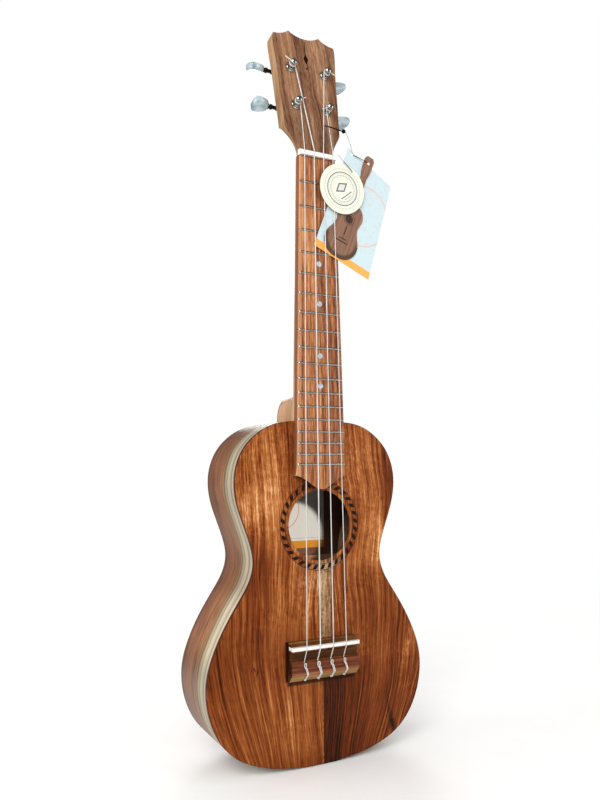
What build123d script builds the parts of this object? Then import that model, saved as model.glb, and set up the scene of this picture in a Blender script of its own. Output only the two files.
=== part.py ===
from build123d import *
import math
import os

os.makedirs("parts", exist_ok=True)

# Tenor ukulele with a flat back, a tie bridge, four open-gear tuners and three hang tags, in mm.
# It is drawn from the nut: X to the right seen from the front, Y from front to back with 0 on the
# front face of the soundboard, Z up the neck with 0 at the lower edge of the nut.
# place() then moves it so that the origin is the bottom centre of the whole object's box.

# ---------------------------------------------------------------- driving dimensions
SCALE = 432.0            # nut to the theoretical saddle line
COMPENSATION = 5.6       # the saddle sits this much further
BODY_BOTTOM = -541.8     # tail end of the body
BODY_TOP = -240.5        # neck end of the body
BODY_DEPTH = 66.0
TOP_T, BACK_T, SIDE_T = 2.2, 2.2, 2.0
BACK_IN = BODY_DEPTH - BACK_T     # inner face of the back

FB_T = 6.2               # fretboard thickness
FB_W_NUT, FB_W_END, FB_END = 37.2, 49.8, -289.2
NUT_L, NUT_TOP = 5.0, 8.85
NUT_SEAT = 3.0           # the neck ledge under the nut, forward of the soundboard plane
STRING_AT_NUT = 8.3      # underside of the strings at the nut, forward of the soundboard plane
SADDLE_TOP, SADDLE_T = 12.2, 3.0
SADDLE_Z, SADDLE_HALF = -(SCALE + COMPENSATION), SADDLE_T / 2

# One entry for each string, from left to right at the nut
STRING_NAMES = ("g", "c", "e", "a")
STRING_D = (0.78, 1.05, 0.92, 0.78)
POSTS = ((-16.4, 52.2), (-18.2, 91.0), (18.2, 91.0), (16.4, 52.2))   # (x, distance up the head)
TAIL_ANGLES = (28.0, 152.0, -24.0, 205.0)      # loose string end, turned about the post
TAIL_LENGTHS = (8.5, 9.5, 7.5, 10.0)
BUTTON_STARTS = (35.1, 36.8, 37.2, 37.2)       # distance from the centre line
BUTTON_ANGLES = (-84.0, 62.0, 101.0, 93.0)     # turn about the worm shaft
NUT_SPREAD, SADDLE_SPREAD = 29.4, 39.5         # first string to last
SADDLE_SHIFT = -0.8                            # the strings cross the saddle left of the centre
NUT_X = [NUT_SPREAD * (i / 3 - 0.5) for i in range(4)]
SADDLE_X = [SADDLE_SHIFT + SADDLE_SPREAD * (i / 3 - 0.5) for i in range(4)]

HEAD_TILT = 9.5
HEAD_Y = -3.6            # the head face meets the nut plane here
HEAD_T, VENEER_T = 13.0, 1.6
WOOD_T = HEAD_T - VENEER_T

FRONT_Y = SADDLE_TOP + 0.02 + STRING_D[1]     # the C string over the saddle is foremost
SHIFT_Y = -(BODY_DEPTH - FRONT_Y) / 2
SHIFT_Z = -BODY_BOTTOM


# ---------------------------------------------------------------- helpers
def place(shape):
    return shape.moved(Pos(0, SHIFT_Y, SHIFT_Z))


def save(name, *shapes):
    """Writes one node: a single solid, or a group when there are several."""
    solids = [solid for shape in shapes for solid in shape.solids()]
    node = solids[0] if len(solids) == 1 else Compound(children=solids)
    export_step(place(node), f"parts/{name}.step")


def slab(sketch, y0, y1):
    """Extrudes an (x, z) sketch from depth y0 to y1."""
    return extrude(Plane.XZ.offset(-y0) * sketch, amount=y1 - y0, dir=(0, 1, 0))


def bar(x0, x1, y0, y1, z0, z1):
    centre = Pos((x0 + x1) / 2, (y0 + y1) / 2, (z0 + z1) / 2)
    return centre * Box(abs(x1 - x0), abs(y1 - y0), abs(z1 - z0))


def rod_x(radius, length):
    return Rotation(0, 90, 0) * Cylinder(radius, length)


def rod_y(x, z, radius, y0, y1):
    return Pos(x, (y0 + y1) / 2, z) * (Rotation(90, 0, 0) * Cylinder(radius, abs(y1 - y0)))


def rod_z(x, y, radius, z0, z1):
    return Pos(x, y, (z0 + z1) / 2) * Cylinder(radius, abs(z1 - z0))


def lathe_x(profile):
    """Turns [(x, radius), ...] about the X axis."""
    points = [(profile[0][0], 0)] + profile + [(profile[-1][0], 0)]
    return revolve(make_face(Polyline(*points, close=True)), axis=Axis.X)


def lathe_z(profile):
    """Turns [(z, radius), ...] about the Z axis."""
    points = [(0, 0, profile[0][0])] + [(radius, 0, z) for z, radius in profile]
    points.append((0, 0, profile[-1][0]))
    return revolve(make_face(Polyline(*points, close=True)), axis=Axis.Z)


def tube(path, radius):
    return sweep(Plane(origin=path @ 0, z_dir=path % 0) * Circle(radius), path=path)


def cord(points, radius, bend_radius=1.2):
    """Round cord along the points, with its corners turned through arcs."""
    edges, start = [], points[0]
    for before, corner, after in zip(points, points[1:], points[2:]):
        back, ahead = before - corner, after - corner
        turn = math.radians(180 - back.get_angle(ahead))
        reach = min(bend_radius * math.tan(turn / 2), 0.46 * back.length, 0.46 * ahead.length)
        back, ahead = back.normalized(), ahead.normalized()
        arc_radius = reach / math.tan(turn / 2)
        inward = (back + ahead).normalized()
        middle = corner + inward * (arc_radius / math.cos(turn / 2) - arc_radius)
        arc_start, arc_end = corner + back * reach, corner + ahead * reach
        edges += [Line(start, arc_start), ThreePointArc(arc_start, middle, arc_end)]
        start = arc_end
    return tube(Wire(edges + [Line(start, points[-1])]), radius)


def soften(shape, edges, size):
    """Rounds the given edges, or bevels them where a round cannot be built."""
    for build, amount in ((fillet, size), (chamfer, size * 0.7), (chamfer, size * 0.4)):
        # Guards against a round or bevel that the kernel cannot build
        try:
            result = build(edges, amount)
            if result.is_valid and abs(result.volume - shape.volume) < 0.08 * shape.volume:
                return result
        except Exception:
            pass
    return shape


def edges_at_y(shape, y):
    return shape.edges().filter_by(
        lambda edge: all(abs((edge @ t).Y - y) < 1e-4 for t in (0, 1, 0.5)))


TILT = math.radians(HEAD_TILT)
COS_TILT, SIN_TILT = math.cos(TILT), math.sin(TILT)
HEAD = Plane(origin=(0, HEAD_Y, 0), x_dir=(1, 0, 0), z_dir=(0, -COS_TILT, SIN_TILT))


def on_head(shape):
    """Head frame: local x right, y up the head, z forward out of its face."""
    return HEAD.location * shape


def head_point(x, up, out):
    return Vector(x, HEAD_Y + up * SIN_TILT - out * COS_TILT, up * COS_TILT + out * SIN_TILT)


# ---------------------------------------------------------------- body outline
# Right half, from the neck end to the tail end: (x, z)
BODY_HALF = [
    (0, BODY_TOP), (20, -240.7), (34, -241.7), (48.3, -245.5), (61.5, -253.6),
    (71.5, -263.9), (78.3, -277.0), (81.3, -294.0), (79.4, -311.0), (73.2, -330.0),
    (66.6, -348.5), (64.1, -362.5), (67.0, -377.0), (77.5, -395.0), (90.3, -415.0),
    (101.3, -437.5), (106.8, -457.0), (107.2, -472.5), (103.4, -491.0), (94.8, -508.7),
    (79.0, -524.5), (60.0, -533.5), (40.0, -538.6), (20.0, -541.0), (0, BODY_BOTTOM)]
LEVEL_ENDS = [(1, 0), (-1, 0)]      # tangents where the outline crosses the centre line
BODY_EDGE = Spline(*BODY_HALF, tangents=LEVEL_ENDS)
INSET_SPANS = 56


def outline(inset=0.0):
    """Body outline as an (x, z) face, moved inwards by the inset."""
    right = BODY_EDGE
    if inset:
        points = []
        for i in range(INSET_SPANS + 1):
            t = i / INSET_SPANS
            point, along = BODY_EDGE @ t, BODY_EDGE % t
            points.append((point.X + along.Y * inset, point.Y - along.X * inset))
        points[0] = (0, points[0][1])
        points[-1] = (0, points[-1][1])
        right = Spline(*points, tangents=LEVEL_ENDS)
    return make_face([right, right.mirror(Plane.YZ)])


LINING_W, LINING_H = 5.0, 6.5
OUTER = outline()
SIDE_INNER = outline(SIDE_T)
LINING_INNER = outline(SIDE_T + LINING_W)
BODY_CUT = slab(OUTER, -5, BODY_DEPTH + 5)    # takes the body's place out of the neck and heel
LEFT_HALF = bar(-200, 0, -50, 150, -700, 200)
RIGHT_HALF = bar(0, 200, -50, 150, -700, 200)

# ---------------------------------------------------------------- soundboard and rosette
HOLE_X, HOLE_Z, HOLE_R = 0.7, -333.6, 31.3
ROSETTE_IN, ROSETTE_OUT, ROSETTE_T = 34.4, 40.1, 0.8
LINE_W = 0.5             # the line along each edge of the rosette
ROPE_GAP = 0.85          # rosette edge to the ends of the rope tiles
ROPE_COUNT = 32
# Glue joint of the two top boards: (x, z)
SEAM = ((-4.4, -240.0), (-3.2, -372.0), (-1.2, -432.0), (1.9, -467.0), (1.8, -545.0))


def rosette_ring(inner, outer):
    return slab(Pos(HOLE_X, HOLE_Z) * (Circle(outer) - Circle(inner)), 0, ROSETTE_T)


def rope_tile(turn):
    inner, outer = ROSETTE_IN + ROPE_GAP, ROSETTE_OUT - ROPE_GAP
    middle = (inner + outer) / 2
    # Slanted six-sided tile: (radius, angle from its start)
    corners = ((inner, 8.3), (inner, 2.9), (middle - 0.5, 1.4),
               (outer, -0.9), (outer, 4.5), (middle + 0.5, 6.3))
    points = []
    for radius, offset in corners:
        angle = math.radians(turn + offset)
        points.append((HOLE_X + radius * math.cos(angle), HOLE_Z + radius * math.sin(angle)))
    return slab(make_face(Polyline(*points, close=True)), 0, ROSETTE_T)


def soundboard():
    board = slab(OUTER, 0, TOP_T)
    board = soften(board, edges_at_y(board, 0), 0.7)
    board = board - rod_y(HOLE_X, HOLE_Z, HOLE_R, -1, 5)
    return board - rosette_ring(ROSETTE_IN, ROSETTE_OUT)


top = soundboard()
left_of_seam = slab(make_face(Polyline(
    (-200, -200), (SEAM[0][0], -200), *SEAM, (SEAM[-1][0], -700), (-200, -700), close=True)), -5, 8)
save("soundboard_left", top & left_of_seam)
save("soundboard_right", top - left_of_seam)

tiles = [rope_tile(i * 360 / ROPE_COUNT) for i in range(ROPE_COUNT)]
band = rosette_ring(ROSETTE_IN + LINE_W, ROSETTE_OUT - LINE_W)
for tile in tiles:
    band = band - tile
save("rosette_band", band)
save("rosette_inlay", rosette_ring(ROSETTE_IN, ROSETTE_IN + LINE_W),
     rosette_ring(ROSETTE_OUT - LINE_W, ROSETTE_OUT), *tiles)

# ---------------------------------------------------------------- sides, blocks, linings
NECK_BLOCK_HALF, NECK_BLOCK_L = 31, 22      # half width, and length inside the side
TAIL_BLOCK_HALF, TAIL_BLOCK_L = 27, 15
BLOCK_GAP = 0.2                             # lining end to block
neck_block_z = BODY_TOP - SIDE_T - NECK_BLOCK_L
tail_block_z = BODY_BOTTOM + SIDE_T + TAIL_BLOCK_L

rim = slab(OUTER - SIDE_INNER, TOP_T, BACK_IN)
save("side_left", rim & LEFT_HALF)
save("side_right", rim & RIGHT_HALF)

inside = slab(SIDE_INNER, TOP_T, BACK_IN)
save("neck_block", inside & bar(-NECK_BLOCK_HALF, NECK_BLOCK_HALF, TOP_T, BACK_IN,
                                neck_block_z, BODY_TOP + 5))
save("tail_block", inside & bar(-TAIL_BLOCK_HALF, TAIL_BLOCK_HALF, TOP_T, BACK_IN,
                                BODY_BOTTOM, tail_block_z))

block_clear = (bar(-NECK_BLOCK_HALF, NECK_BLOCK_HALF, 0, 70, neck_block_z - BLOCK_GAP, BODY_TOP + 5)
               + bar(-TAIL_BLOCK_HALF, TAIL_BLOCK_HALF, 0, 70,
                     BODY_BOTTOM, tail_block_z + BLOCK_GAP))
lining = SIDE_INNER - LINING_INNER
save("linings", slab(lining, TOP_T, TOP_T + LINING_H) - block_clear,
     slab(lining, BACK_IN - LINING_H, BACK_IN) - block_clear)

# ---------------------------------------------------------------- braces, patch, strip, label
TOP_BRACE_W, TOP_BRACE_H = 7, 9
TOP_BRACES = (-292.0, -378.5)               # z
BACK_BRACE_W = BACK_BRACE_H = 8
BACK_BRACES = (-283.0, -372.0, -462.0)      # z
FAN_W, FAN_H, FAN_TOP = 4.5, 6.0, -384
FANS = ((-14, -36, -512), (0, 0, -518), (14, 36, -512))     # (x at top, x at foot, z of foot)
PATCH_HALF, PATCH_T, PATCH_BOTTOM, PATCH_TOP = 41, 2.0, -468, -430
STRIP_HALF, STRIP_T, STRIP_BOTTOM, STRIP_TOP = 7, 1.6, -524, -265.5
LABEL_LEFT, LABEL_RIGHT, LABEL_BOTTOM, LABEL_TOP, LABEL_T = -39.0, 41.2, -361.0, -301.0, 0.2
LABEL_GAP = 2            # label edge to the cut in the seam strip

room = slab(LINING_INNER, 0, BODY_DEPTH)    # space inside the linings


def brace(z, width, height, base, inward):
    """Bevelled brace across the body, rising from depth base; inward is +1 or -1 along Y."""
    section = [(0, -width / 2), (height * 0.7, -width / 2), (height, -width * 0.18),
               (height, width * 0.18), (height * 0.7, width / 2), (0, width / 2)]
    points = [(0, base + inward * rise, z + along) for rise, along in section]
    face = make_face(Polyline(*points, close=True))
    return extrude(face, amount=110, both=True, dir=(1, 0, 0)) & room


def fan(x_top, x_foot, z_foot):
    angle = math.degrees(math.atan2(x_foot - x_top, FAN_TOP - z_foot))
    length = math.hypot(x_foot - x_top, z_foot - FAN_TOP)
    centre = Pos((x_top + x_foot) / 2, TOP_T + FAN_H / 2, (FAN_TOP + z_foot) / 2)
    return centre * (Rotation(0, -angle, 0) * Box(FAN_W, FAN_H, length))


def seam_strip():
    strip = bar(-STRIP_HALF, STRIP_HALF, BACK_IN - STRIP_T, BACK_IN, STRIP_BOTTOM, STRIP_TOP)
    for z in BACK_BRACES:
        strip = strip - bar(-10, 10, 0, 70, z - BACK_BRACE_W / 2, z + BACK_BRACE_W / 2)
    return strip - bar(-60, 60, 0, 70, LABEL_BOTTOM - LABEL_GAP, LABEL_TOP + LABEL_GAP)


patch = bar(-PATCH_HALF, PATCH_HALF, TOP_T, TOP_T + PATCH_T, PATCH_BOTTOM, PATCH_TOP)
save("bridge_patch", patch)
save("top_braces", *[brace(z, TOP_BRACE_W, TOP_BRACE_H, TOP_T, 1) for z in TOP_BRACES],
     *[fan(*row) - patch for row in FANS])
save("back_braces", *[brace(z, BACK_BRACE_W, BACK_BRACE_H, BACK_IN, -1) for z in BACK_BRACES],
     seam_strip())
save("label", bar(LABEL_LEFT, LABEL_RIGHT, BACK_IN - LABEL_T, BACK_IN, LABEL_BOTTOM, LABEL_TOP))

# ---------------------------------------------------------------- back
back = slab(OUTER, BACK_IN, BODY_DEPTH)
back = soften(back, edges_at_y(back, BODY_DEPTH), 0.9)
save("back_left", back & LEFT_HALF)
save("back_right", back & RIGHT_HALF)

# ---------------------------------------------------------------- neck
NECK_D_NUT, NECK_D_HEEL = 12.0, 15.0
HEEL_END, CAP_END = 61.0, 62.5        # depth of the heel and of its cap
HEEL_BASE = BODY_TOP - 1.5            # flat side of the heel, just inside the body
CAP_SECTION = (10.5, -215.9)          # heel where its cap starts: (half width, z of its top)
BORE_R = 4.0                          # holes through the head for the posts
SCREW_UPS = (-8.6, 13.8)              # tuner screws, up the head from the post
# Shaft sections: (z, depth, power)
SHAFT_STATIONS = (
    (0.0, NECK_D_NUT, 1.9), (-70.0, NECK_D_NUT + 0.7, 1.9), (-140.0, NECK_D_NUT + 1.6, 1.95),
    (-210.0, NECK_D_HEEL, 2.1), (-241.5, NECK_D_HEEL + 0.4, 2.1))
# Heel sections: (y, half width, z of the top)
HEEL_STATIONS = (
    (2.0, 23.4, -193.0), (9.0, 22.4, -197.0), (15.0, 19.7, -202.5), (22.0, 17.0, -208.0),
    (31.0, 14.3, -212.2), (45.0, 12.3, -214.7), (HEEL_END, *CAP_SECTION))
# Sections where the neck swells into the head: (distance up the head, width, depth, power)
VOLUTE_STATIONS = (
    (9.0, 39.2, NECK_D_NUT + 1.8, 2.0), (19.0, 47.8, WOOD_T + 2.4, 2.2),
    (27.0, 57.2, WOOD_T + 2.2, 3.1), (36.0, 74.0, WOOD_T + 2.0, 9.0))


def fb_half(z):
    """Half width of the fretboard at height z (negative below the nut)."""
    return (FB_W_NUT + (FB_W_END - FB_W_NUT) * (z / FB_END)) / 2


def d_section(plane, width, base, rise, power, spans=12):
    """Face with a flat side at local y = base and a rounded side reaching base + rise.

    Power 2 is an ellipse, larger is squarer."""
    points = []
    for i in range(spans + 1):
        angle = math.pi * i / spans
        across, out = math.cos(angle), math.sin(angle)
        points.append((width / 2 * math.copysign(abs(across) ** (2 / power), across),
                       base + rise * abs(out) ** (2 / power)))
    return plane * make_face([Spline(*points), Line(points[-1], points[0])])


def level_plane(z):
    return Plane(origin=(0, 0, z), x_dir=(1, 0, 0), z_dir=(0, 0, 1))


def head_plane(up):
    """Plane square to the head, at the back of the veneer."""
    return Plane(origin=head_point(0, up, -VENEER_T), x_dir=(1, 0, 0),
                 z_dir=(0, SIN_TILT, COS_TILT))


def heel_section(y, half_width, z_top):
    return d_section(Plane.XZ.offset(-y), 2 * half_width, HEEL_BASE, z_top - HEEL_BASE, 2.3, 10)


def head_outline():
    right = [
        Line((18.6, -6.0), (18.6, 4.0)),
        Spline((18.6, 4.0), (19.2, 9.5), (20.9, 14.6), (24.0, 20.6), (28.2, 28.6),
               tangents=[(0.02, 1), (0.42, 1)]),
        Spline((28.2, 28.6), (28.9, 41.0), (29.6, 55.0), (30.6, 80.0), (31.8, 102.0),
               (32.8, 114.5), (32.3, 125.6), tangents=[(0.15, 1), (-0.25, 1)]),
        ThreePointArc((32.3, 125.6), (23.4, 127.4), (16.2, 131.9)),
    ]
    left = [edge.mirror(Plane.YZ) for edge in right]
    return make_face([*right, ThreePointArc((16.2, 131.9), (0, 126.6), (-16.2, 131.9)),
                      *left, Line((-18.6, -6.0), (18.6, -6.0))])


HEAD_FACE = head_outline()


def neck_solid():
    shaft = loft([d_section(level_plane(z), 2 * fb_half(z) - 0.5, 0.0, depth, power)
                  for z, depth, power in SHAFT_STATIONS])
    heel = loft([heel_section(*row) for row in HEEL_STATIONS])
    at_nut = d_section(level_plane(0.0), FB_W_NUT, -NUT_SEAT - 1.0,
                       NECK_D_NUT + NUT_SEAT + 0.8, 2.0)
    volute = loft([at_nut] + [d_section(head_plane(up), width, -2.0, depth, power)
                              for up, width, depth, power in VOLUTE_STATIONS])
    volute = volute & on_head(extrude(HEAD_FACE, amount=60, both=True))
    plate = on_head(extrude(HEAD_FACE, amount=-WOOD_T, dir=(0, 0, 1)).moved(Pos(0, 0, -VENEER_T)))
    # The head plate counts only above a slope across its foot; below it the volute takes over
    above_slope = on_head(
        Pos(0, 28.3, 0) * (Rotation(22.0, 0, 0) * (Pos(0, 100, 0) * Box(200, 200, 200))))
    neck = shaft + heel + volute + (plate & above_slope)
    neck = neck - bar(-40, 40, -30, 0, -260, 0)                  # fretboard seat
    neck = neck - bar(-40, 40, -30, -NUT_SEAT, -0.5, NUT_L)      # ledge for the nut
    neck = neck - (on_head(Pos(0, 60, 20 - VENEER_T) * Box(100, 200, 40))
                   & bar(-60, 60, -80, 80, NUT_L, 200))          # veneer seat
    neck = neck - BODY_CUT
    for x, up in POSTS:
        neck = neck - on_head(Pos(x, up, -8) * Cylinder(BORE_R, 40))
        for screw_up in SCREW_UPS:
            neck = neck - on_head(Pos(x, up + screw_up, -HEAD_T + 3.0) * Cylinder(0.9, 6.0))
    return neck


save("neck", neck_solid())
heel_cap = extrude(heel_section(HEEL_END, *CAP_SECTION), amount=CAP_END - HEEL_END, dir=(0, 1, 0))
save("heel_cap", heel_cap - BODY_CUT)

# ---------------------------------------------------------------- head veneer and its inlay
INLAY_T = 0.4
DIAMOND = ((0, 110.6), (2.6, 104.6), (0, 98.6), (-2.6, 104.6))     # (x, up the head)


def head_veneer(inlays):
    veneer = extrude(HEAD_FACE, amount=-VENEER_T, dir=(0, 0, 1))
    front_edges = veneer.edges().filter_by(
        lambda edge: abs((edge @ 0).Z) < 1e-5 and abs((edge @ 1).Z) < 1e-5)
    veneer = on_head(soften(veneer, front_edges, 0.4))
    veneer = veneer - bar(-40, 40, -30, 30, -30, NUT_L)
    for x, up in POSTS:
        veneer = veneer - on_head(Pos(x, up, 0) * Cylinder(BORE_R, 20))
    for inlay in inlays:
        veneer = veneer - inlay
    return veneer


head_inlays = [on_head(shape) for shape in (
    Pos(0, 118.4, -INLAY_T / 2) * Box(0.8, 11.0, INLAY_T),
    extrude(make_face(Polyline(*DIAMOND, close=True)), amount=-INLAY_T),
    Pos(0, 94.4, -INLAY_T / 2) * Cylinder(1.1, INLAY_T))]
save("head_veneer", head_veneer(head_inlays))
save("head_inlay", *head_inlays)

# ---------------------------------------------------------------- fretboard, frets, dots
N_FRETS = 18
FRET_W, FRET_H, TANG_W, TANG_D = 2.0, 1.1, 0.56, 1.8
DOT_R, DOT_T = 2.5, 1.4
DOT_FRETS = (5, 7, 10, 12)
FB_BEVEL = 0.8
FLARE_Z = -281.0         # the straight sides end here and flare out


def fret_z(number):
    return -SCALE * (1 - 2 ** (-number / 12))


def fretboard_blank():
    flare_half = fb_half(FLARE_Z)
    right = [
        Line((FB_W_NUT / 2, 0), (flare_half, FLARE_Z)),
        Spline((flare_half, FLARE_Z), (flare_half + 0.55, -285.6), (26.3, -289.3),
               tangents=[(0.0215, -1), (0.6, -1)]),
        Spline((26.3, -289.3), (20.8, -290.7), (15.3, -293.6), (10.2, -297.1), (5.6, -300.1),
               (0, -301.3), tangents=[(-1, 0.02), (-1, 0)]),
    ]
    left = [edge.mirror(Plane.YZ) for edge in right]
    board = slab(make_face([*right, *left, Line((-FB_W_NUT / 2, 0), (FB_W_NUT / 2, 0))]), -FB_T, 0)
    long_edges = edges_at_y(board, -FB_T).filter_by(lambda edge: edge.length > 200)
    # Guards the bevel: the edges stay square if it cannot be built
    try:
        board = chamfer(long_edges, FB_BEVEL)
    except Exception:
        pass
    return board


def fret(z):
    half = fb_half(z) - FB_BEVEL + 0.1
    low, middle, high = (0, -FB_T, z - FRET_W / 2), (0, -FB_T - FRET_H, z), (0, -FB_T, z + FRET_W / 2)
    crown = make_face([Line(low, high), ThreePointArc(high, middle, low)])
    crown = extrude(crown, amount=half, both=True, dir=(1, 0, 0))
    # Slopes the two ends of the crown: (x, y)
    ends = ((-half, -FB_T), (-half + 0.75, -FB_T - FRET_H - 0.1),
            (half - 0.75, -FB_T - FRET_H - 0.1), (half, -FB_T),
            (half, -FB_T + 0.1), (-half, -FB_T + 0.1))
    trapezium = make_face(Polyline(*[(x, y, z - 2) for x, y in ends], close=True))
    crown = crown & extrude(trapezium, amount=4, dir=(0, 0, 1))
    return crown + bar(-half + 0.4, half - 0.4, -FB_T - 0.2, -FB_T + TANG_D,
                       z - TANG_W / 2, z + TANG_W / 2)


fretboard = fretboard_blank()
frets = []
for number in range(1, N_FRETS + 1):
    z = fret_z(number)
    fretboard = fretboard - bar(-40, 40, -FB_T - 1, -FB_T + TANG_D, z - TANG_W / 2, z + TANG_W / 2)
    frets.append(fret(z))
dots = [rod_y(0, (fret_z(number) + fret_z(number - 1)) / 2, DOT_R, -FB_T, -FB_T + DOT_T)
        for number in DOT_FRETS]
for dot in dots:
    fretboard = fretboard - dot
save("fretboard", fretboard)
save("frets", *frets)
save("fret_markers", *dots)

# ---------------------------------------------------------------- nut
SLOT_GAP = 0.06          # play around each string in its slot
# Section from front to back: (y, z)
NUT_SECTION = (
    (-NUT_SEAT, 0), (-NUT_TOP, 0), (-NUT_TOP, 1.6), (-NUT_TOP + 0.9, 4.0),
    (-NUT_TOP + 2.2, NUT_L), (-NUT_SEAT, NUT_L))


def nut_solid():
    section = make_face(Polyline(*[(0, y, z) for y, z in NUT_SECTION], close=True))
    nut = extrude(section, amount=FB_W_NUT / 2, both=True, dir=(1, 0, 0))
    front_ends = nut.edges().filter_by(Axis.Z).filter_by(
        lambda edge: abs((edge @ 0.5).Y + NUT_TOP) < 0.01)
    nut = soften(nut, front_ends, 1.1)
    for x, diameter in zip(NUT_X, STRING_D):
        half, y = diameter / 2 + SLOT_GAP, -(STRING_AT_NUT + diameter / 2)
        nut = nut - rod_z(x, y, half, -1, 7)
        nut = nut - bar(x - half, x + half, -NUT_TOP - 1, y, -1, 7)
    return nut


save("nut", nut_solid())

# ---------------------------------------------------------------- saddle and bridge
BRIDGE_W, BRIDGE_X = 67.4, 0.6       # width, and offset to the right
BRIDGE_TOP, BRIDGE_BOTTOM = -433.0, -466.6
SLOT_FLOOR = 3.4                     # floor of the saddle slot, forward of the soundboard
RIDGE_Y, CHANNEL_Y = 8.0, 4.4        # forward reach of the saddle ridge and the string channel
TIE_FOOT, TIE_FRONT, TIE_TOP_Y, TIE_BEVEL = -447.6, -450.8, 9.0, -459.8
BEVEL_FOOT_Y = 3.0                   # the lower bevel of the tie block ends this far forward
TIE_HOLE_R = 0.95
EXIT_SHIFT, EXIT_T = 1.5, 0.86       # string hole exit: shift to the right, place down the bevel
# Bridge section from its upper edge: (forward of the soundboard, z)
BRIDGE_SECTION = (
    (0, BRIDGE_TOP), (2.2, BRIDGE_TOP), (RIDGE_Y, SADDLE_Z + SADDLE_HALF + 0.35),
    (RIDGE_Y, SADDLE_Z + SADDLE_HALF), (SLOT_FLOOR, SADDLE_Z + SADDLE_HALF),
    (SLOT_FLOOR, SADDLE_Z - SADDLE_HALF), (RIDGE_Y, SADDLE_Z - SADDLE_HALF),
    (RIDGE_Y, SADDLE_Z - SADDLE_HALF - 0.9), (CHANNEL_Y, SADDLE_Z - SADDLE_HALF - 3.9),
    (CHANNEL_Y, TIE_FOOT), (TIE_TOP_Y - 0.4, TIE_FRONT + 0.3), (TIE_TOP_Y, TIE_FRONT - 0.3),
    (TIE_TOP_Y, TIE_FRONT - 1.6), (TIE_TOP_Y - 0.5, TIE_FRONT - 2.2),
    (TIE_TOP_Y - 0.5, TIE_BEVEL + 2.0), (TIE_TOP_Y, TIE_BEVEL + 1.4), (TIE_TOP_Y, TIE_BEVEL),
    (BEVEL_FOOT_Y, BRIDGE_BOTTOM), (0, BRIDGE_BOTTOM))


def saddle_end_cut():
    """What the rounding takes off the front corner of the right end."""
    def corner(right, back):
        return (BRIDGE_W / 2 + right, -SADDLE_TOP + back, SADDLE_Z - 3)

    arc_start, arc_end = corner(0.01, 3.2), corner(-3.2, -0.01)
    face = make_face([ThreePointArc(arc_start, corner(-0.95, 0.95), arc_end),
                      Polyline(arc_end, corner(-3.2, -1), corner(0.01, -1), arc_start)])
    return extrude(face, amount=6, dir=(0, 0, 1))


def saddle_solid():
    low, high = SADDLE_Z - SADDLE_HALF, SADDLE_Z + SADDLE_HALF
    round_y = -(SADDLE_TOP - SADDLE_HALF)
    section = make_face([
        ThreePointArc((0, round_y, low), (0, -SADDLE_TOP, SADDLE_Z), (0, round_y, high)),
        Polyline((0, round_y, high), (0, -SLOT_FLOOR, high), (0, -SLOT_FLOOR, low),
                 (0, round_y, low))])
    saddle = extrude(section, amount=BRIDGE_W / 2, both=True, dir=(1, 0, 0))
    end_cut = saddle_end_cut()
    return (saddle - end_cut - end_cut.mirror(Plane.YZ)).moved(Pos(BRIDGE_X, 0, 0))


def on_bevel(x, t, lift):
    """Point on the lower bevel of the tie block, t from its top edge (0) to its foot (1),
    lifted off the wood."""
    fall, run = TIE_TOP_Y - BEVEL_FOOT_Y, TIE_BEVEL - BRIDGE_BOTTOM
    length = math.hypot(fall, run)
    return Vector(x, -(TIE_TOP_Y - fall * t + lift * run / length),
                  TIE_BEVEL - run * t - lift * fall / length)


# String holes through the tie block: (mouth on the upper bevel, exit near the lower foot)
TIE_HOLES = [(Vector(x, -7.5, -449.0), on_bevel(x + EXIT_SHIFT, EXIT_T, 0.0)) for x in SADDLE_X]


def bridge_solid():
    section = make_face(Polyline(*[(0, -forward, z) for forward, z in BRIDGE_SECTION], close=True))
    bridge = extrude(section, amount=BRIDGE_W / 2, both=True, dir=(1, 0, 0))
    bridge = bridge.moved(Pos(BRIDGE_X, 0, 0))
    for mouth, leave in TIE_HOLES:
        way = (leave - mouth).normalized()
        start = mouth - way * 3.0
        length = (leave - start).length
        drill = Pos(0, 0, length / 2 + 1.5) * Cylinder(TIE_HOLE_R, length + 3.0)
        bridge = bridge - Plane(origin=start, z_dir=way).location * drill
    return bridge


save("saddle", saddle_solid())
save("bridge", bridge_solid())

# ---------------------------------------------------------------- tuners
# Each part is drawn in the head frame about its own post, or about its worm shaft along X.
POST_R, WAIST_R = 3.0, 2.3
BUSHING_BORE_R = 3.06
TAIL_H = 7.7             # cross hole in the post, where the string end comes out
GEAR_TEETH, MODULE = 14, 0.8
GEAR_ROOT_R, GEAR_TIP_R, GEAR_T = 4.4, 6.1, 2.6
GEAR_BACK, GEAR_SEAT_R = -21.3, 1.8
PITCH = math.pi * MODULE
WORM_UP = 8.0            # worm axis above the post axis, along the head
WORM_OUT = -20.0         # worm axis behind the head face
WORM_R, WORM_TIP, WORM_CORE, WORM_TURNS = 2.4, 2.95, 1.6, 3
EAR_X, EAR_T, EAR_R = 6.5, 1.2, 3.2
PLATE_T, PLATE_L, PLATE_MID = 1.0, 27.0, 2.5
PLATE_BACK = -HEAD_T - PLATE_T
BUTTON_L, BUTTON_HALF_T, BUTTON_BORE_R = 15.0, 3.2, 1.4
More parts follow.
